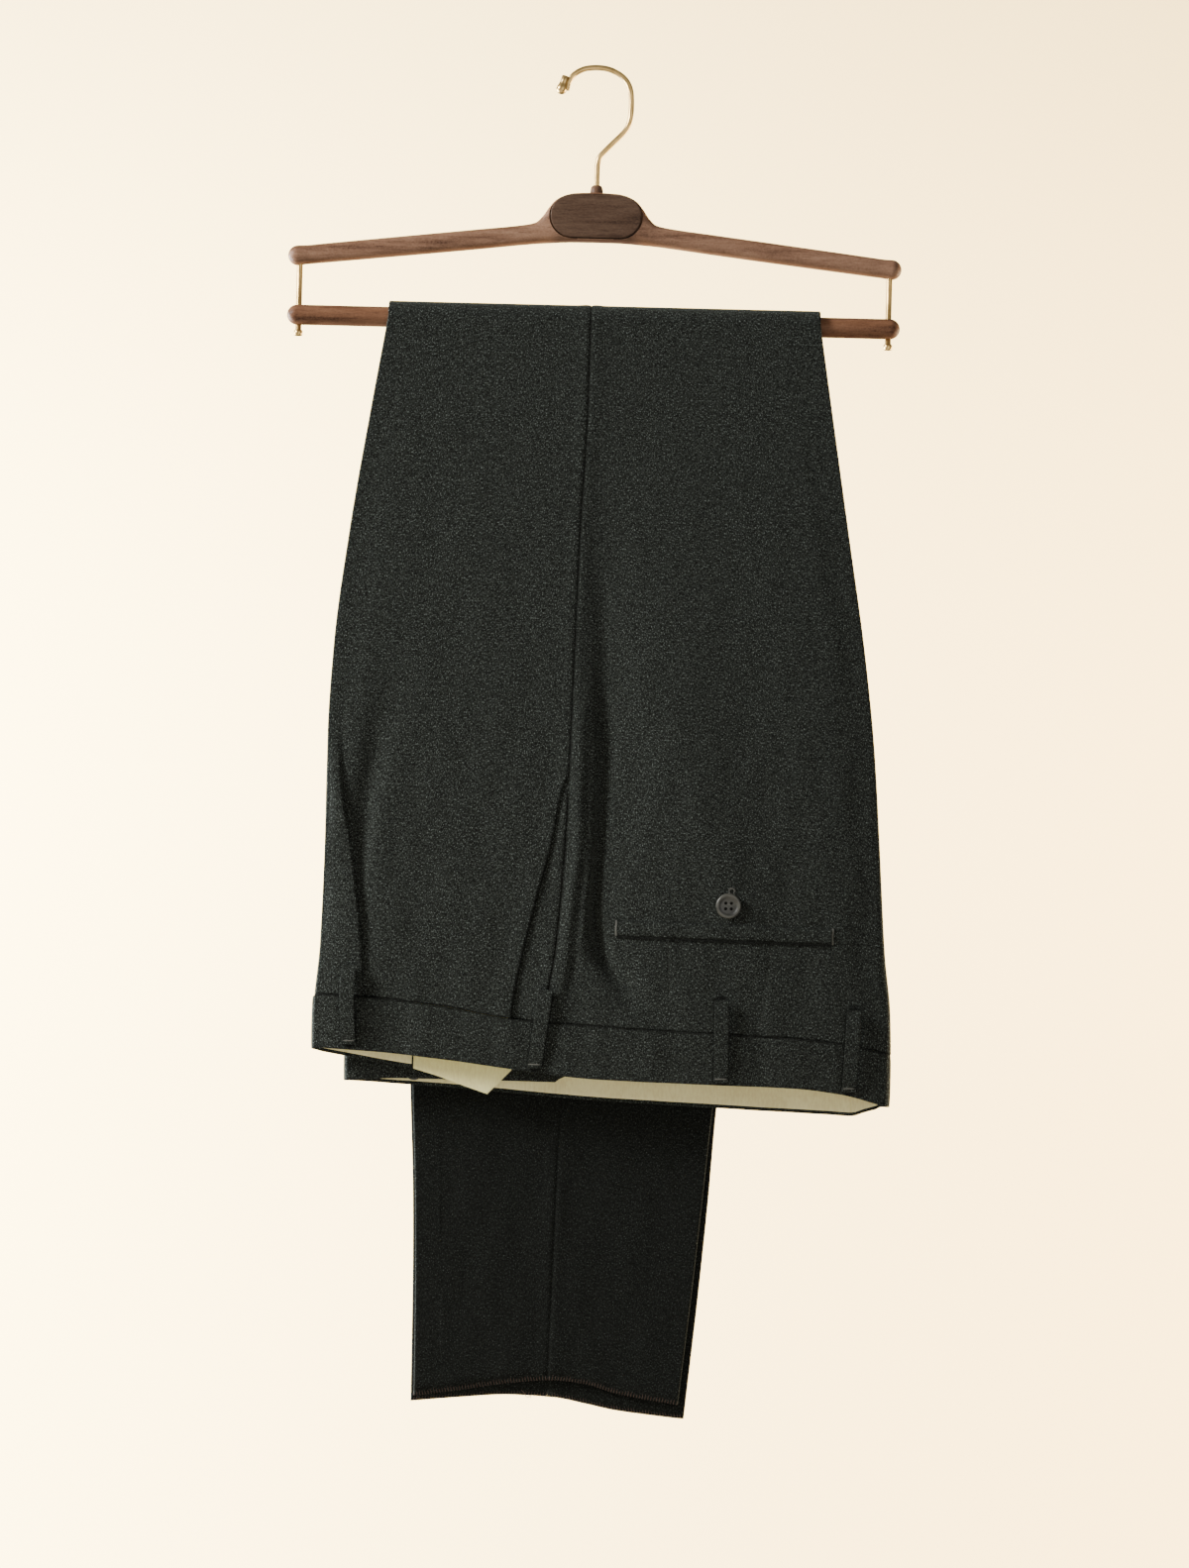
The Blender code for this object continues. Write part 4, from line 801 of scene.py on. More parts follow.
def near_rows(side, part, share, columns, far_columns):
    """Near drop of one panel: x, reach and height over rows at shares of the drop.

    Columns run from the side seam over the outer side, the pleat and the fold to the
    medial edge.
    """
    share, out, inward, front = share[:, None], SIDES[side], PARTS[part], part == "front"
    lateral, medial, fold = side + "_lateral", side + "_medial", f"{side}_{part}"
    turn_x = waist_turn(side, part)
    high, low = drop_height(lateral, turn_x, share), drop_height(medial, turn_x, share)
    edge = NEAR(fold, high)
    lateral_end, medial_end = reach(lateral, edge, high), reach(medial, edge, low)
    end_x = blend(NEAR("seam", WAIST_READ), turn_x, columns)
    if front:
        along, down = pleat_walk(high)
        lift = down.sum(axis=1, keepdims=True)
        walk_x = pleat_edge(side, high) - CREASE_RADIUS + np.cumsum(along, axis=1)
        lateral_end = lateral_end + out * (lift - PLEAT("fall", high))
        start = walk_x[:, -1:]
        end_x = blend(front_edge(WAIST_READ, NEAR("seam", WAIST_READ)), start, columns)
    radius = np.abs(lateral_end - medial_end) / 2
    height = drop_height(lateral, end_x, share)
    seam = NEAR("seam", height)
    if front:
        near, far = front_edge(height, seam), start
    else:
        near, far = seam + SEAM_GAP, NEAR(fold, height) - radius
    x = blend(near, far, columns)
    sewn = 1.0 - ease((POCKET_TOP - height) / 6) if front else 1.0
    at = reach(lateral, x, height) + out * seam_relief(np.abs(x - seam)) * sewn
    if front:
        at = at + out * seam_relief(x - near, 9, 0.3, 0.8) * (1 - sewn)
    rows = [(x, at, height)]
    if front:
        x = walk_x[:, -2::-1]
        level = (lift - np.cumsum(down, axis=1))[:, -2::-1]
        rows.append((x, at[:, -1:] + out * level, drop_height(lateral, x, share)))
        over = np.linspace(0, 1, 18)[None, :]
        x = blend(walk_x[:, :1] - along[:, :1], edge + radius, over)
        top = blend(at[:, -1:] + out * lift, lateral_end, over**PLEAT_ROUND)
        rows.append((x, top, drop_height(lateral, x, share)))
    rows.append(half_turn(edge, lateral_end, medial_end, inward, high, low))
    fork = fold if front else "back"
    height = drop_height(medial, blend(turn_x, FORK(fork, -648.0), far_columns), share)
    cut_edge, seam = FORK(fork, height), NEAR("seam", height) - inward * SEAM_GAP
    far = np.minimum(cut_edge, seam) if front else np.maximum(cut_edge, seam)
    x = blend(edge + inward * radius, far, far_columns)
    at = blend(medial_end, reach(medial, x, height), ease(far_columns * 3))
    rows.append((x, at, height))
    return [np.hstack([np.broadcast_to(row[i], row[0].shape) for row in rows]) for i in range(3)]


def rear_rows(side, part, share, x_over, columns, far_columns):
    """Rear drop of one panel: the leg lies flat, and its columns run on from the bar."""
    share, out, inward = share[:, None], SIDES[side], PARTS[part]
    lateral, medial = (
        blend(REACH_OVER_BAR[layer], HEM_REACH[layer], share)
        for layer in (side + "_lateral", side + "_medial")
    )

    def height_at(x):
        """Height in the column that ends at x on the hem."""
        return BAR_HEIGHT + (HEM(side, x) - BAR_HEIGHT) * share

    edge = REAR(f"{side}_{part}", height_at(-100.0 if part == "front" else 70.0))
    crown = edge + inward * np.abs(lateral - medial) / 2
    near = REAR("seam", height_at(-10.0)) - inward * SEAM_GAP
    turn_start = x_over.shape[1] - (FOLD_STEPS - 1) - len(far_columns)
    near_fold = x_over[:1, len(columns) - 1 : turn_start]
    last = crown + near_fold - near_fold[:, -1:]
    x = blend(near, last[:, :1], columns)
    calm = ease(np.minimum(np.abs(x - crown), 30) / 30)
    ripple = fine_relief(x + 400, height_at(x), share * 0.8) * calm
    rows = [(x, lateral + out * (seam_relief(np.abs(x - near)) + ripple)), (last[:, 1:], lateral)]
    rows.append(half_turn(edge, lateral, medial, inward, 0.0, 0.0)[:2])
    rows.append((blend(crown, near, far_columns), medial))
    blocks = [np.broadcast_arrays(x, at, height_at(x)) for x, at in rows]
    return [np.hstack(block) for block in zip(*blocks)]


def spread(count, *clusters):
    """Shares from 0 to 1, closer together near each cluster's (centre, width, gain)."""
    fine = np.linspace(0, 1, 2001)
    weight = 1 + sum(gain * bell(fine - centre, width) for centre, width, gain in clusters)
    total = np.concatenate([[0], np.cumsum((weight[1:] + weight[:-1]) / 2)])
    return np.interp(np.linspace(0, total[-1], count), total, fine)


def lengths(points, axis):
    """Running length in metres along one direction of a grid."""
    steps = np.linalg.norm(np.diff(points, axis=axis), axis=-1)
    start = np.zeros_like(np.take(steps, [0], axis=axis))
    return np.cumsum(np.concatenate([start, steps], axis=axis), axis=axis) * MM


def loop_x(name, top_x, bottom_x, share):
    """Middle of a belt loop from its top (0) to its bottom (1). One sways off its line."""
    sway = LOOP_SWAY * np.sin(pi * share**0.6) if name == "right_front" else 0.0
    return top_x + (bottom_x - top_x) * share - sway


def shade_beside(points, to_seam):
    """The mark "seam" on the right leg's outer side, for painted shade: the seam shade's reach
    less the distance in mm.

    The distance is to the nearest seam, or to the outer edge of the nearest belt loop, so
    painted shade also lines each loop's outer edges.
    """
    x, height = points[..., 0], points[..., 2]
    for name, layer, top_x, top, bottom_x, bottom, _ in BELT_LOOPS:
        if layer == "right_lateral":
            share = (height - top) / (bottom - top)
            middle = loop_x(name, top_x, bottom_x, np.clip(share, 0, 1))
            off_end = np.maximum(np.abs(share - 0.5) - 0.5, 0) * (top - bottom) * 2
            aside = (np.abs(x - middle) - LOOP_WIDTH / 2) * LOOP_SHADE
            to_seam = np.minimum(to_seam, aside + off_end)
    return np.maximum(SEAM_SHADE_REACH - to_seam, 0)


def over_bar(x, at):
    """Rows of a layer over the bar, from its near side to its rear side."""
    turn = np.radians(np.linspace(0, 180, 17))[:, None]
    return grid(x, -at * np.cos(turn), BAR_HEIGHT + at * np.sin(turn))


def panel_points(side, part, near_share, rear_share, columns, far_columns):
    """Rows of one panel from the waist seam over the bar to the hem, its cloth map and marks.

    The marks are the seam shade's reach less the distance to the nearest seam in mm, for
    painted shade along the seams, and 0 to 1 for how far a point lies behind the bar, for
    the painted shade of the cloth that hangs there.
    """
    x, at, height = near_rows(side, part, near_share, columns, far_columns)
    x_over, at_over, _ = near_rows(side, part, np.zeros(1), columns, far_columns)
    rear = rear_rows(side, part, rear_share, x_over, columns, far_columns)
    over = over_bar(x_over, at_over)
    points = np.concatenate([grid(x, -at, height), over, grid(*rear)])
    across, along = lengths(points, 1), lengths(points, 0)
    to_seam = np.minimum(across, along) / MM
    # Painted shade along the seams.
    seam = np.maximum(SEAM_SHADE_REACH - to_seam, 0)
    # Painted shade beside the belt loops on the right leg's outer side.
    if side == "right":
        outer = np.s_[: len(x), : len(columns)]
        seam[outer] = shade_beside(points[outer], to_seam[outer])
    # behind: painted shade over the cloth that hangs behind the bar.
    behind = [np.zeros(len(x)), np.linspace(0, 1, len(over)), np.ones(len(rear_share))]
    marks = {"seam": seam, "behind": np.concatenate(behind)[:, None]}
    fold = points.shape[1] - len(far_columns) - FOLD_STEPS // 2
    cloth = np.stack([across - across[:, fold, None], 0 * across + along[:, fold, None]], axis=-1)
    return points, cloth, marks


def flannel(g):
    """Paint of milled melange flannel: dark and mid fibres, pale flecks and a faint twill.

    Painted shade darkens it where marked: along the seams, the pocket and welt edges and
    beside the belt loops, and over the cloth that hangs behind the bar.
    """
    cloth, across, along = g.cloth()
    fibre = g.noise(cloth, 860, 3, 0.7, stretch=(1, 0.8, 1))
    fleck = g.noise(cloth, 1500, 2, 0.6, stretch=(1, 0.55, 1)).band(0.56, 0.70)
    hair = g.noise(cloth, 1900, 2, 0.6, stretch=(0.3, 1, 1), turn=0.9).band(0.56, 0.72)
    twill = g.math("SINE", (across + along) * (2 * pi * TWILL_LINES))
    ground = (fibre + g.noise(cloth, 210, 2) * 0.18 + twill * 0.02).band(0.48, 0.78)
    ground = g.mix(ground, FLANNEL_DARK, FLANNEL_MIDDLE)
    lit = g.mix(fleck * 0.62 + hair * 0.22, ground, FLANNEL_PALE)
    # Painted shade: "seam" along seams, edges and loops, "behind" over the rear drop.
    behind, seam = g.mark("behind"), g.mark("seam").band(SEAM_SHADE_REACH - 1.5, SEAM_SHADE_REACH - 0.2)
    hung = g.mix(behind * BEHIND_SHADE, lit, FLANNEL_SHADE)
    return {
        "Base Color": g.mix(seam * 0.72 * (1 - behind * 0.7), hung, FLANNEL_SHADE),
        "Roughness": 0.95,
        "Specular IOR Level": 0.12,
        "Sheen Weight": 0.12,
        "Sheen Roughness": 0.45,
        "Sheen Tint": (0.62, 0.70, 0.60),
        "Normal": g.bump(fibre + fleck * 0.4 + hair * 0.3 + twill * 0.08, 0.0005, 0.7),
    }


def sew(name, points, material, wall, slot, *nodes, soft=0.0, cloth=None, marks=None, **flat):
    """A piece of cloth, with its wall and its soft edges. Its flat size is not used."""
    if cloth is None:
        cloth = np.stack([lengths(points, 1), lengths(points, 0)], axis=-1)
    piece = surface(name, points, material, cloth=cloth, marks=marks)
    shell = piece.modifiers.new("wall", "SOLIDIFY")
    shell.thickness, shell.offset = wall * MM, 0
    shell.use_even_offset = shell.use_quality_normals = True
    if soft:
        edge = piece.modifiers.new("edge", "BEVEL")
        edge.width, edge.segments = soft * MM, 2
        edge.limit_method, edge.angle_limit = "ANGLE", radians(60)
    stand_for(piece, slot, *nodes)


wool = finish("flannel", flannel)
EDGE_COLUMNS, DART_COLUMNS = (0, 0.02, 5), ((0.345, 0.02, 4.0), (0.665, 0.02, 4.0))
# side, part, rows of the near and rear drop, columns of the outer side, flat cut in m
PANELS = (
    ("right", "front", 190, 70, (72, (0.965, 0.05, 1.5)), (0.36, 1.24), 0.33),
    ("right", "back", 190, 70, (104, (0.13, 0.07, 1.6), *DART_COLUMNS), (0.40, 1.26), 0.38),
    ("left", "front", 90, 90, (56,), (0.36, 1.24), 0.33),
    ("left", "back", 90, 90, (64,), (0.40, 1.26), 0.38),
)
hems = {}
for side, part, near_count, rear_count, (count, *clusters), flat, area in PANELS:
    share = spread(near_count, (1.0, 0.01, 3.0), (0.86, 0.012, 2.0))[:0:-1]
    points, cloth, marks = panel_points(
        side, part, share, np.linspace(0, 1, rear_count)[1:],
        spread(count, EDGE_COLUMNS, *clusters), np.linspace(0, 1, 14),
    )
    hems[side, part] = points[-1]
    sew(
        f"{side}_{part}_panel", points, wool, CLOTH, "flannel", f"{side}_{part}",
        cloth=cloth, marks=marks, flat=flat, held="folded", rests_on=["bar"], area=area,
    )

# ---------------------------------------------------------------- side seams
# Each seam's allowances are pressed open inside the leg. The strip of both of them
# closes the fine gap between the front and the back.
ALLOWANCE, ALLOWANCE_UNDER, ALLOWANCE_WALL = 11.0, 1.15, 0.5
for side, out in SIDES.items():
    layer = side + "_lateral"
    across = np.linspace(-ALLOWANCE, ALLOWANCE, 7)[None, :]
    under = out * (seam_relief(across, dip=0.0) - ALLOWANCE_UNDER)
    height = blend(BAR_HEIGHT, waist(layer, -20.0), np.linspace(0.985, 0, 90)[:, None])
    x = NEAR("seam", height) + across
    near = grid(x, -reach(layer, x, height) - under, height)
    over = over_bar(NEAR("seam", BAR_HEIGHT) + across, REACH_OVER_BAR[layer] + under)[1:]
    share = np.linspace(0, 1, 60)[1:, None]
    height = blend(BAR_HEIGHT, HEM(side, -10.0) + 1.0, share)
    at = blend(REACH_OVER_BAR[layer], HEM_REACH[layer], share) + under
    points = np.concatenate([near, over, grid(REAR("seam", height) + across, at, height)])
    sew(
        f"{side}_seam_allowance", points, wool, ALLOWANCE_WALL, "flannel",
        flat=(0.022, 1.18), held="folded", rests_on=[f"{side}_front_panel"],
    )

# ---------------------------------------------------------------- side pockets
# Behind each slanted pocket edge lies a strip of the same flannel. It comes out from
# under the front panel and runs into the side seam. Painted shade darkens it along that
# seam and just past the pocket edge.
FACING_TUCK, FACING_GAP, POCKET_SHADE = 12.0, 0.5, 0.9
for side, out in SIDES.items():
    layer = side + "_lateral"
    share = np.linspace(0, 1, 60)[:, None]
    guess = blend(POCKET_TOP, waist(layer, -30.0), share)
    seam, edge = NEAR("seam", guess) - FACING_GAP, POCKET("edge", guess)
    x = blend(edge - FACING_TUCK, seam, np.linspace(0, 1, 44)[None, :])
    under = 1.45 - 1.1 * ease((x - edge) / np.maximum(seam - edge, 6.0))
    height = blend(POCKET_TOP, waist(layer, x) + 0.3, share)
    points = grid(x, -reach(layer, x, height) + out * (under - seam_relief(x - seam)), height)
    # Painted shade along the seam and under the pocket edge.
    to_edge = np.minimum(seam - x, np.maximum(x - edge, 0) * POCKET_SHADE)
    sew(
        f"{side}_pocket_facing", points, wool, CLOTH, "flannel", f"{side}_side_pocket_facing",
        marks={"seam": np.maximum(SEAM_SHADE_REACH - to_edge, 0)},
        flat=(0.045, 0.16), held="folded", rests_on=[f"{side}_front_panel"], area=0.0062,
    )

# ---------------------------------------------------------------- waistbands
# A band of two plies of flannel is sewn to each leg and turns round both its folds. A
# cream cotton lining is felled inside it, short of the band's lower edge.
BAND_WALL, BAND_LIFT, BAND_BULGE, BAND_DROP, BAND_SOFT = 1.6, 0.3, 0.35, 0.12, 0.5
LINING_WALL, LINING_RIM, LINING_DROP, LINING_BULGE, LINING_SOFT = 0.8, 2.5, 4.0, 0.1, 0.3
LINING_STEP = BAND_WALL / 2 + 0.25 + LINING_WALL / 2
SEAT_SEAM, SEAT_CLOSING, TAB_END, TAB_SLANT, FLY_EDGE = 181.0, 2.8, -2.5, -10.3, -106.5
COTTON, SHIELD_COTTON = (0.96, 0.90, 0.52), (0.98, 0.94, 0.47)
COTTON_SHADE = (0.84, 0.80, 0.74)


def cotton(name, colour):
    """Smooth cotton twill: fine diagonal ribs and slow shading."""

    def paint(g):
        cloth, across, along = g.cloth()
        rib = g.math("SINE", (across + along * 0.8) * (2 * pi * 900))
        thread = g.noise(cloth, 700, 3, 0.6, stretch=(1, 0.3, 1))
        cloud = g.noise(cloth, 30, 3)
        shade = tuple(value * factor for value, factor in zip(colour, COTTON_SHADE))
        return {
            "Base Color": g.mix((thread * 0.5 + cloud * 0.5).band(0.35, 0.65), shade, colour),
            "Roughness": 0.72,
            "Normal": g.bump(rib * 0.2 + thread, 0.00015, 0.6),
        }

    return finish(name, paint)


def band_reach(layer, x):
    """Reach of a band's middle surface: the cloth's, moved out to cover its edge."""
    side, part = layer.split("_")
    if part == "medial":
        return reach(layer, x, BELOW) - SIDES[side] * BAND_LIFT
    closing = SEAT_CLOSING * ease((x - SEAT_SEAM + 16) / 16) if side == "left" else 0.0
    return reach(layer, x, BELOW) + SIDES[side] * (BAND_LIFT + pleat_lift(side, x)) + closing


def band_run(layer, start, stop, count):
    """Path of a band along one layer: x, reach, waist seam and lower edge."""
    x = np.linspace(start, stop, count)
    return np.stack([x, band_reach(layer, x), waist(layer, x), waist(layer, x, "edge")], axis=-1)


def band_turn(side, part):
    """Half turn of a band round its fold, its heights run from one layer to the other."""
    edge, start = NEAR(f"{side}_{part}", -655.0), waist_turn(side, part)
    lateral, medial = side + "_lateral", side + "_medial"
    outer, inner = band_reach(lateral, edge), band_reach(medial, edge)
    angle = np.linspace(0, pi, 17)
    x = edge + PARTS[part] * abs(outer - inner) / 2 * (1 - np.sin(angle))
    at = inner + (outer - inner) * (1 + np.cos(angle)) / 2
    seam = blend(waist(lateral, start), waist(medial, start), angle / pi)
    rim = blend(waist(lateral, edge, "edge"), waist(medial, edge, "edge"), angle / pi)
    return np.stack([x, at, seam, rim], axis=-1)


def beside(line, step):
    """The path moved sideways in plan by a step, to the left of its direction."""
    run = np.gradient(line[:, :2], axis=0)
    run /= np.linalg.norm(run, axis=1)[:, None]
    moved = line.copy()
    moved[:, :2] += step * np.column_stack([-run[:, 1], run[:, 0]])
    return moved


def band_points(line, top_drop, rim_rise, bulge, slant):
    """The band's rows from the waist seam to its lower edge, a little full in the middle.

    The lower corner of its far end is cut back by the slant.
    """
    share = spread(18, (0, 0.05, 4))[:, None]
    full = np.sin(pi * share) ** 0.6 - 0.6 * bell(share, 0.07)
    x, at = (blend(a, b, full) for a, b in zip(line.T[:2], beside(line, bulge).T[:2]))
    run = lengths(line[:, :2], 0) / MM
    x = x + slant * ease(share / 0.2 - 4) * np.clip(1 - (run[-1] - run) / 30, 0, 1)
    return grid(x, -at, blend(line[:, 2] - top_drop, line[:, 3] + rim_rise, share))


front, back, left = (
    band_turn(*fold) for fold in (("right", "front"), ("right", "back"), ("left", "front"))
)
right_line = np.concatenate([
    band_run("right_medial", FLY_EDGE, front[-1, 0] + 3, 22),
    front[::-1],
    band_run("right_lateral", front[0, 0] + 3, back[0, 0] - 3, 280),
    back,
    band_run("right_medial", back[-1, 0] - 3, SEAT_SEAM - 0.3, 6),
])
left_line = np.concatenate([
    band_run("left_lateral", SEAT_SEAM, left[0, 0] + 3, 100),
    left,
    band_run("left_medial", left[-1, 0] + 3, TAB_END, 50),
])
lining = cotton("cream_cotton", COTTON)
for side, line, slant in (("right", right_line, 0.0), ("left", left_line, TAB_SLANT)):
    points = band_points(line, BAND_DROP, 0.0, BAND_BULGE, slant)
    # Painted shade along the waist seam, and beside the belt loops on the right band's outer side.
    to_seam = lengths(points, 0) / MM
    seam = np.maximum(SEAM_SHADE_REACH - to_seam, 0)
    if side == "right":
        outer = points[..., 1] < -band_reach("right_medial", 0.0) - BAND_WALL
        seam = np.where(outer, shade_beside(points, to_seam), seam)
    sew(
        f"{side}_band", points, wool, BAND_WALL, "flannel", f"{side}_waistband",
        soft=BAND_SOFT, marks={"seam": seam},
        flat=(0.034, 0.50), held="folded", rests_on=[f"{side}_back_panel"],
    )
    inside = beside(line, -LINING_STEP)
    sew(
        f"{side}_band_lining", band_points(inside, LINING_DROP, LINING_RIM, LINING_BULGE, slant),
        lining, LINING_WALL, "lining", f"{side}_waistband_lining", soft=LINING_SOFT,
        flat=(0.031, 0.50), held="folded", rests_on=[f"{side}_band"],
    )

# ---------------------------------------------------------------- fly shield
# The right front ends in a pointed shield of the same cream cotton, past its fly edge.
# It hangs from the fly, and its tip ends below the lining.
SHIELD = Shape(
    "height edge", (-512, -84), (-560, -62), (-620, -45), (-656.4, -41.4), (-673, -41.4)
)
SHIELD_TOP, SHIELD_GAP = -512.0, 0.9
SHIELD_TIP = ((0, -656.7), (0.26, -661.4), (0.5, -666.8), (0.76, -672.3), (1, -656.4))
share, column = np.linspace(0, 1, 60)[:, None], np.linspace(0, 1, 26)[None, :]
height = blend(np.interp(column, *zip(*SHIELD_TIP)), SHIELD_TOP, share)
x = blend(FORK("right_front", height) + SHIELD_GAP, SHIELD("edge", height), column)
wave = 0.35 * np.sin(x / 9.0 + height / 14.0)
sew(
    "cream_fly_shield", grid(x, -reach("right_medial", x, height) - wave, height),
    cotton("shield_cotton", SHIELD_COTTON), LINING_WALL, "lining", "fly_shield",
    soft=LINING_SOFT, flat=(0.06, 0.16), held="hung", rests_on=["right_front_panel"], area=0.0072,
)

# ---------------------------------------------------------------- back pockets
# A single folded welt closes each back pocket. Its lower edge is the mouth, and a short
# bar tack of lighter thread holds each end. Painted shade outlines each welt, and a narrow
# strip under its lower edge, lying back flat, is painted dark as the shadow of the mouth.
WELT_WALL, WELT_SOFT, WELT_FRONT, WELT_BACK, WELT_HEIGHT = 0.9, 0.3, 25.3, 164.8, 9.8
# The third holds rows below the welt's lower edge, painted dark as the shadow of its mouth.
WELT_TOP, WELT_SLOPE, MOUTH_SHADE_ROWS = {"right": -556.6, "left": -571.0}, -0.016, (0.1, 0.8, 1.7)
THREAD_SIDES = 6


def welt_top(side, x):
    """Height of a welt's upper edge at x: it slopes down towards the back."""
    return WELT_TOP[side] + WELT_SLOPE * (x - WELT_FRONT)


def lay(side, x, height, above):
    """Points over a side's outer cloth: at the height of its face plus a distance."""
    at = reach(side + "_lateral", x, height) + SIDES[side] * (CLOTH / 2 + above)
    return grid(x, -at, height)


def threads(name, paths, radius, material, slot="flannel", upright=(0.0, 1.0, 0.0)):
    """Many stitches as one piece: a tube along each path (count, points, 3), its ends closed."""
    taper = np.ones(paths.shape[1])
    taper[[0, -1]] = 0.02
    taper[[1, -2]] = 0.8
    rings = tube_rows(paths, radius * taper, THREAD_SIDES, upright)
    index = np.arange(rings[..., 0].size).reshape(rings.shape[:3])
    after = np.roll(index, -1, axis=2)
    quads = np.stack([index[:, :-1], after[:, :-1], after[:, 1:], index[:, 1:]], axis=-1)
    ends = np.concatenate([index[:, 0, ::-1], index[:, -1]])
    mesh = bpy.data.meshes.new(name)
    faces = quads.reshape(-1, 4).tolist() + ends.tolist()
    mesh.from_pydata((rings.reshape(-1, 3) * MM).tolist(), [], faces)
    stand_for(piece_of(mesh, material, closed=True), slot)


def yarn(name, colour):
    """Sewing thread: twisted plies in its bump and a soft shade along it."""

    def paint(g):
        twist = g.noise(g.place(), 2600, 2)
        dull = tuple(0.6 * value for value in colour)
        return {
            "Base Color": g.mix(twist.band(0.3, 0.7), dull, colour),
            "Roughness": 0.75,
            "Normal": g.bump(twist, 0.0001, 0.6),
        }

    return finish(name, paint)


pale_thread = yarn("pale_thread", (0.105, 0.108, 0.095))
dark_thread = yarn("dark_thread", (0.030, 0.030, 0.026))
for side, out in SIDES.items():
    run = blend(WELT_FRONT, WELT_BACK, spread(120, (0, 0.008, 5), (1, 0.008, 5))[None, :])
    down = WELT_HEIGHT * spread(20, (0, 0.08, 2), (1, 0.08, 2))
    down = np.concatenate([down, WELT_HEIGHT + np.array(MOUTH_SHADE_ROWS)])[:, None]
    share = np.minimum(down / WELT_HEIGHT, 1)
    rolled = 0.95 * (1 - np.abs(2 * share - 1) ** 5) - 0.45
    points = lay(side, run, welt_top(side, run) - down, 0.25 + WELT_WALL / 2 + rolled)
    # Painted shade along the welt's edges, full on the rows below its lower edge.
    to_edge = np.minimum(run - WELT_FRONT, WELT_BACK - run) + 0.7
    to_edge = np.minimum(np.minimum(to_edge, down * 1.4 + 0.3), np.maximum(WELT_HEIGHT - down, 0))
    sew(
        f"{side}_welt", points, wool, WELT_WALL, "flannel", f"{side}_back_pocket_welt",
        soft=WELT_SOFT, marks={"seam": np.maximum(SEAM_SHADE_REACH - to_edge, 0)},
        flat=(0.14, 0.011), held="stretched", rests_on=[f"{side}_back_panel"],
    )
    stitch = np.linspace(0, 1, 12)[None, :]
    tack_x = np.array([WELT_FRONT - 0.8, WELT_BACK + 0.8])[:, None] + (-0.35, 0.0, 0.35)
    x = tack_x.reshape(-1, 1) + 0.12 * np.sin(stitch * 9)
    paths = lay(side, x, welt_top(side, x) + 0.8 - (WELT_HEIGHT + 1.6) * stitch, 0.0)
    paths[..., 1] -= out * (0.2 + 0.7 * np.sin(pi * stitch) ** 0.4)
    threads(f"{side}_welt_tacks", paths, 0.26, pale_thread)

# ---------------------------------------------------------------- buttons
# Turned horn buttons with four holes, sewn on with dark thread: one at each back pocket
# and one inside the left band, which closes the waist.
POCKET_BUTTON, INNER_BUTTON = {"right": (97.2, -545.2), "left": (97.2, -559.4)}, (-105.4, -659.4)
POCKET_BUTTON_SIZE, INNER_BUTTON_SIZE = (8.3, 2.8), (5.6, 2.2)
HORN_DARK, HORN_PALE = (0.0085, 0.009, 0.0072), (0.043, 0.044, 0.036)
# From the middle of the face to the middle of the back, in shares of the radius and wall.
BUTTON_PROFILE = np.array((
    (0, 0.60), (0.3, 0.61), (0.58, 0.66), (0.68, 0.78), (0.76, 0.94), (0.84, 1), (0.92, 0.95),
    (0.98, 0.75), (1, 0.52), (0.97, 0.33), (0.72, 0), (0, 0),
))
HOLE_SPACING, HOLE_RADIUS, THREAD_RADIUS, DRILL_PAST = 0.22, 0.125, 0.085, 2.0


def horn(g):
    """Paint of dark horn: cloudy streaks with a pale translucent edge, half polished."""
    streak = g.noise(g.place(), 190, 4, 0.6, stretch=(0.5, 1, 1.6), turn=0.6)
    fine = g.noise(g.place(), 1500, 2)
    cloudy = (streak * 0.9 + g.mark("rim") * 0.35).band(0.40, 0.85)
    return {
        "Base Color": g.mix(cloudy, HORN_DARK, HORN_PALE),
        "Roughness": fine * 0.2 + 0.34,
        "Normal": g.bump(fine, 0.00004, 0.5),
        "Coat Weight": 0.16,
        "Coat Roughness": 0.2,
    }


def button(name, size, place, out, node):
    """A button faced along Y: a lathe profile with a raised rim, drilled four times."""
    radius, wall = size
    axes = ((1, 0, 0), (0, 0, 1), (0, -out, 0))
    rim = ease((BUTTON_PROFILE[:, :1] - 0.6) / 0.3)
    made = turned(name, BUTTON_PROFILE * size, horn_finish, 56, place, axes, marks={"rim": rim})
    ends, hole = (-DRILL_PAST, wall + DRILL_PAST), radius * HOLE_RADIUS
    drill = ((0.0, ends[0]), (hole, ends[0]), (hole, ends[1]), (0.0, ends[1]))
    spots = radius * HOLE_SPACING * np.array([(-1, -1), (1, -1), (-1, 1), (1, 1)])
    for x, z in spots:
        cut(made, turned("drill", drill, horn_finish, 16, np.array(place) + (x, 0, z), axes))
    sharpen(made, 40)
    stand_for(made, "button", node)
    deep = np.linspace(-1.0, wall * 0.12, 5)[None, :]
    x, z = spots.T[:, :, None]
    paths = grid(place[0] + x, place[1] - out * deep, place[2] + z)
    threads(name + "_thread", paths, radius * THREAD_RADIUS, dark_thread, "button", (1.0, 0, 0))


horn_finish = finish("dark_horn", horn)
for side, out in SIDES.items():
    x, height = POCKET_BUTTON[side]
    place = (x, -reach(side + "_lateral", x, height) - out * (CLOTH / 2 + 0.45), height)
    button(f"{side}_horn_button", POCKET_BUTTON_SIZE, place, out, f"{side}_back_pocket_button")
x, height = INNER_BUTTON
place = (x, LINING_STEP + LINING_WALL / 2 + 0.25 - band_reach("left_medial", x), height)
button("inner_horn_button", INNER_BUTTON_SIZE, place, -1, "inner_button")

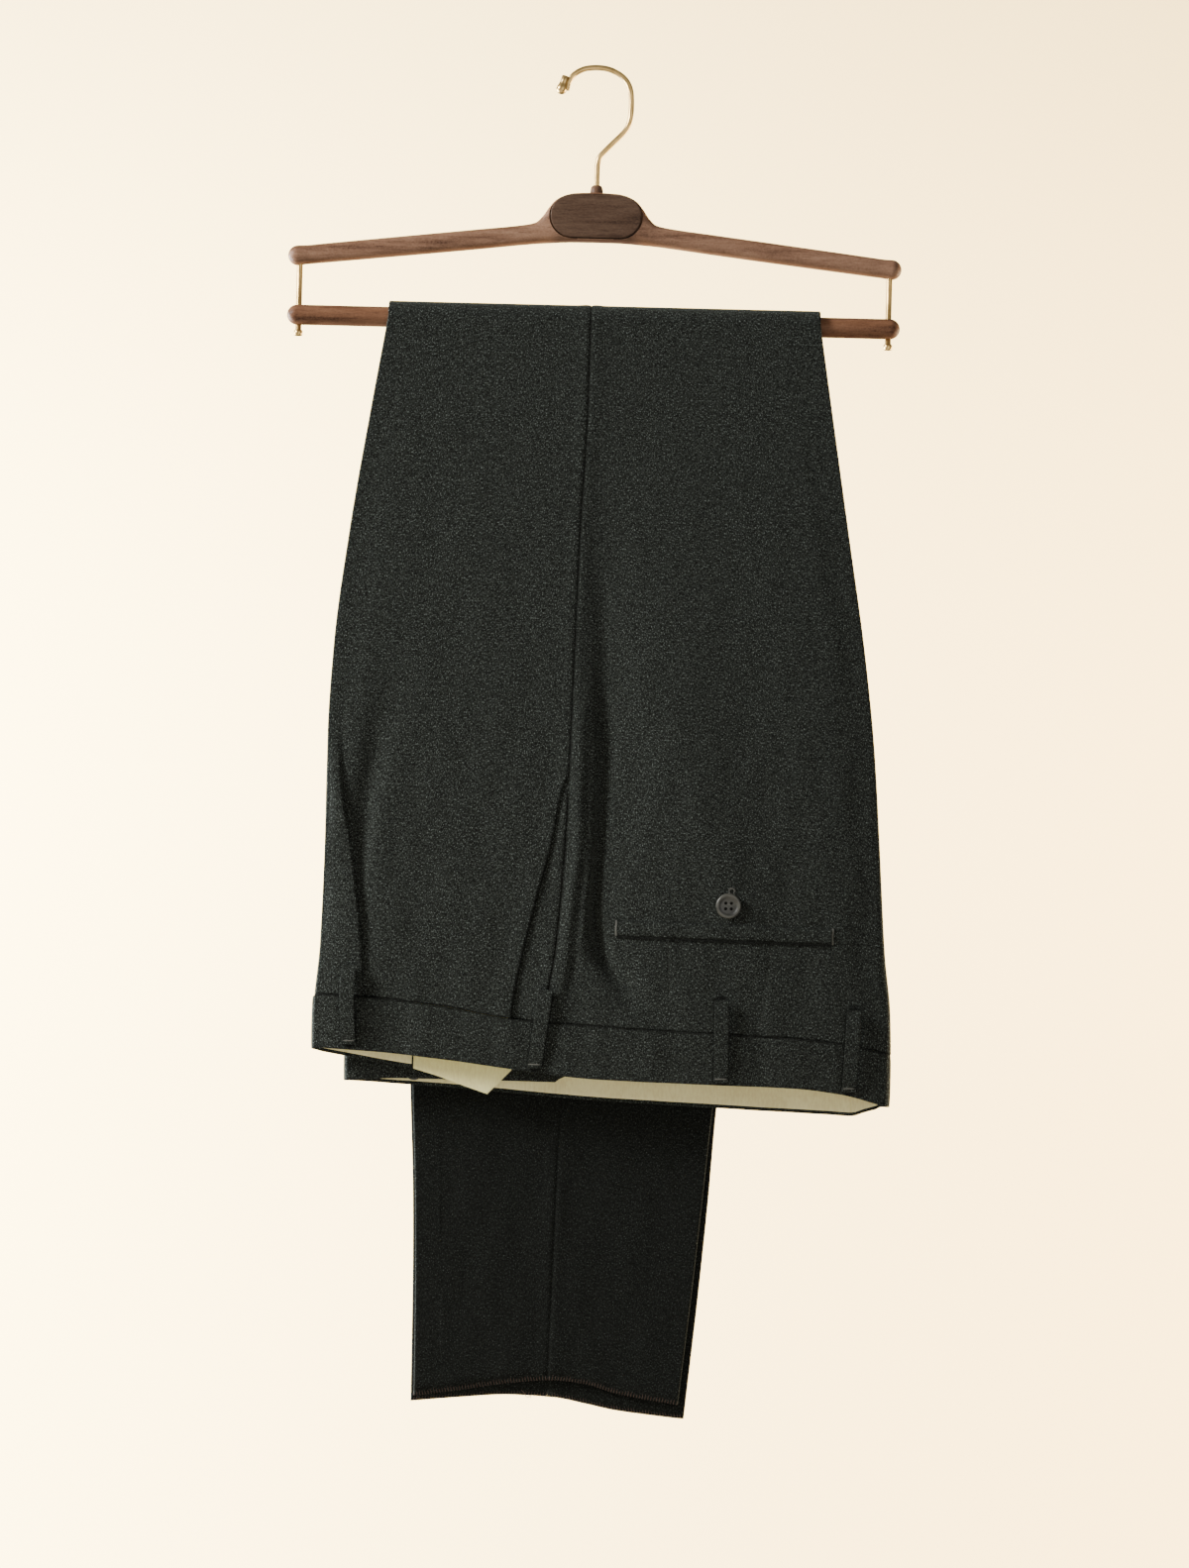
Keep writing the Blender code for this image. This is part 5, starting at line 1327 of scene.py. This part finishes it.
# ---------------------------------------------------------------- buttonholes and darts
# Each back pocket buttons up through a keyhole worked above its button in lighter thread.
# Two darts shape the seat on each side, and a tail of the slot shows behind each welt.
HOLE_EYE, HOLE_LEG, HOLE_STITCH, HOLE_SET = 1.15, 17.0, 1.35, (2.0, 9.6)
DARTS = ((58.5, -571.0, 60.5, -606.0), (125.6, -574.5, 119.5, -624.0))
for side, out in SIDES.items():
    eye_x, eye_z = np.array(POCKET_BUTTON[side]) + HOLE_SET
    turn = np.radians(np.linspace(220, -40, 22))
    ring, leg = np.stack([np.cos(turn), np.sin(turn)], axis=-1), np.linspace(2.0, HOLE_LEG, 15)
    legs = [np.stack([way * 0.75 + 0 * leg, -leg], axis=-1) for way in (1, -1)]
    away = [np.tile((way, 0.0), (15, 1)) for way in (1.0, -1.0)]
    walk, away = np.concatenate([ring * HOLE_EYE, *legs]), np.concatenate([ring, *away])
    ragged = HOLE_STITCH * (1 + 0.35 * np.sin(np.arange(len(walk)) * 2.4))
    reached = np.linspace(0, 1, 6)
    flat = walk[:, None] + away[:, None] * (ragged[:, None] * reached)[..., None] + (eye_x, eye_z)
    paths = lay(side, flat[..., 0], flat[..., 1], 0.0)
    paths[..., 1] -= out * (0.1 + 0.35 * np.sin(pi * reached) ** 0.5)
    threads(f"{side}_buttonhole", paths, 0.2, pale_thread)
    slot = lay(side, eye_x, np.linspace(eye_z + 0.5, eye_z - HOLE_LEG, 14)[None, :], -0.55)
    threads(f"{side}_buttonhole_gap", slot, 0.85, dark_thread)
    stitch = np.linspace(0, 1, 15)[:-1, None] + np.linspace(0, 0.045, 5)[None, :]
    shift = WELT_TOP[side] - WELT_TOP["right"]
    paths = [
        lay(side, x_0 + (x_1 - x_0) * stitch, z_0 + (z_1 - z_0) * stitch + shift, -0.12)
        for x_0, z_0, x_1, z_1 in DARTS
    ]
    tail = np.linspace(0, 1, 5)[None, :]
    height = welt_top(side, WELT_BACK) - WELT_HEIGHT + 0.6 + 1.6 * tail
    paths.append(lay(side, WELT_BACK + 1.6 + 3.2 * tail, height, -0.1))
    threads(f"{side}_dart_stitches", np.concatenate(paths), 0.26, dark_thread)

# ---------------------------------------------------------------- hem stitches
# The hems are left raw for the tailor, and a whipped overlock in brown thread keeps them
# from fraying. Its tail hangs loose from one leg.
HEM_STITCH, HEM_PITCH, HEM_SLANT, HEM_OVER = 3.0, 1.9, 0.7, CLOTH / 2 + 0.12
# Share of the stitch's height and turn about the hem at each of its points.
HEM_WHIP = ((1, 0), (0.5, 0), (0.06, 25), (-0.1, 90), (0.06, 155), (0.5, 180), (1, 180))
LOOSE_END = (
    (-30.5, -867.6), (-28.4, -869.2), (-27, -871.6), (-25.4, -872.6), (-24.2, -871.2),
    (-23.6, -873.4),
)
brown_thread = yarn("brown_thread", (0.085, 0.050, 0.036))
for side in SIDES:
    paths, uprights = [], []
    for part in PARTS:
        row = hems[side, part]
        run = lengths(row, 0) / MM
        places = np.arange(1.0, run[-1], HEM_PITCH)
        base, ahead = (
            np.stack([np.interp(places + step, run, row[:, axis]) for axis in range(3)], axis=-1)
            for step in (0, 1)
        )
        ahead = ahead - base
        ahead /= np.maximum(np.linalg.norm(ahead, axis=1)[:, None], 0.01)
        aside = np.stack([-ahead[:, 1], ahead[:, 0], 0 * ahead[:, 0]], axis=-1)
        up = np.outer(HEM_STITCH * (1 + 0.18 * np.sin(places * 2.7)), (0, 0, 1))
        path = [
            base + aside * HEM_OVER * np.cos(np.radians(turn)) + (ahead * HEM_SLANT + up) * lift
            for lift, turn in HEM_WHIP
        ]
        paths.append(np.stack(path, axis=1))
        uprights.append(ahead[:, None])
    paths, uprights = np.concatenate(paths), np.concatenate(uprights)
    threads(f"{side}_hem_overlock", paths, 0.2, brown_thread, upright=uprights)
end = through(LOOSE_END, 4)
end = grid(end[:, 0], HEM_REACH["left_lateral"] - 1.4, end[:, 1])
threads("loose_end", end[None], 0.17, brown_thread)

# ---------------------------------------------------------------- belt loops
# Eight straps, each tacked above the waist seam and at the band's edge, and standing a
# little off the band between its tacks. A light bar tack shows near the lower end of each
# loop on an outer side.
LOOP_OFF = BAND_WALL / 2 + 0.65
tack_paths = []
for name, layer, top_x, top, bottom_x, bottom, bow in BELT_LOOPS:
    side, part = layer.split("_")
    out = SIDES[side] * (1 if part == "lateral" else -1)
    share = np.linspace(0, 1, 40)[:, None]
    across = (spread(17, (0, 0.08, 2), (1, 0.08, 2)) - 0.5)[None, :]
    x = loop_x(name, top_x, bottom_x, share) + across * LOOP_WIDTH
    away = LOOP_OFF + LOOP_WALL / 2 + bow * ease(1 - np.abs(share * 2 - 1) ** 2.5)
    away = away + 0.25 * (1 - (2 * across) ** 4)
    sew(
        f"loop_{name}", grid(x, -band_reach(layer, x) - out * away, blend(top, bottom, share)),
        wool, LOOP_WALL, "flannel", f"belt_loop_{name}", soft=0.45,
        flat=(0.017, 0.053), held="stretched", rests_on=[f"{side}_band"], area=0.00045,
    )
    if part == "lateral":
        strand, run = np.array([[-0.5], [0.0], [0.5]]), np.linspace(-0.46, 0.46, 9)[None, :]
        x = bottom_x + run * LOOP_WIDTH
        away = LOOP_OFF + LOOP_WALL + bow * 0.05 + 0.25 + 0.12 * np.cos(pi * run)
        y = -band_reach(layer, x) - out * away
        tack_paths.append(grid(x, y, bottom + 2.6 + 0.55 * strand))
threads("loop_tacks", np.concatenate(tack_paths), 0.24, pale_thread)
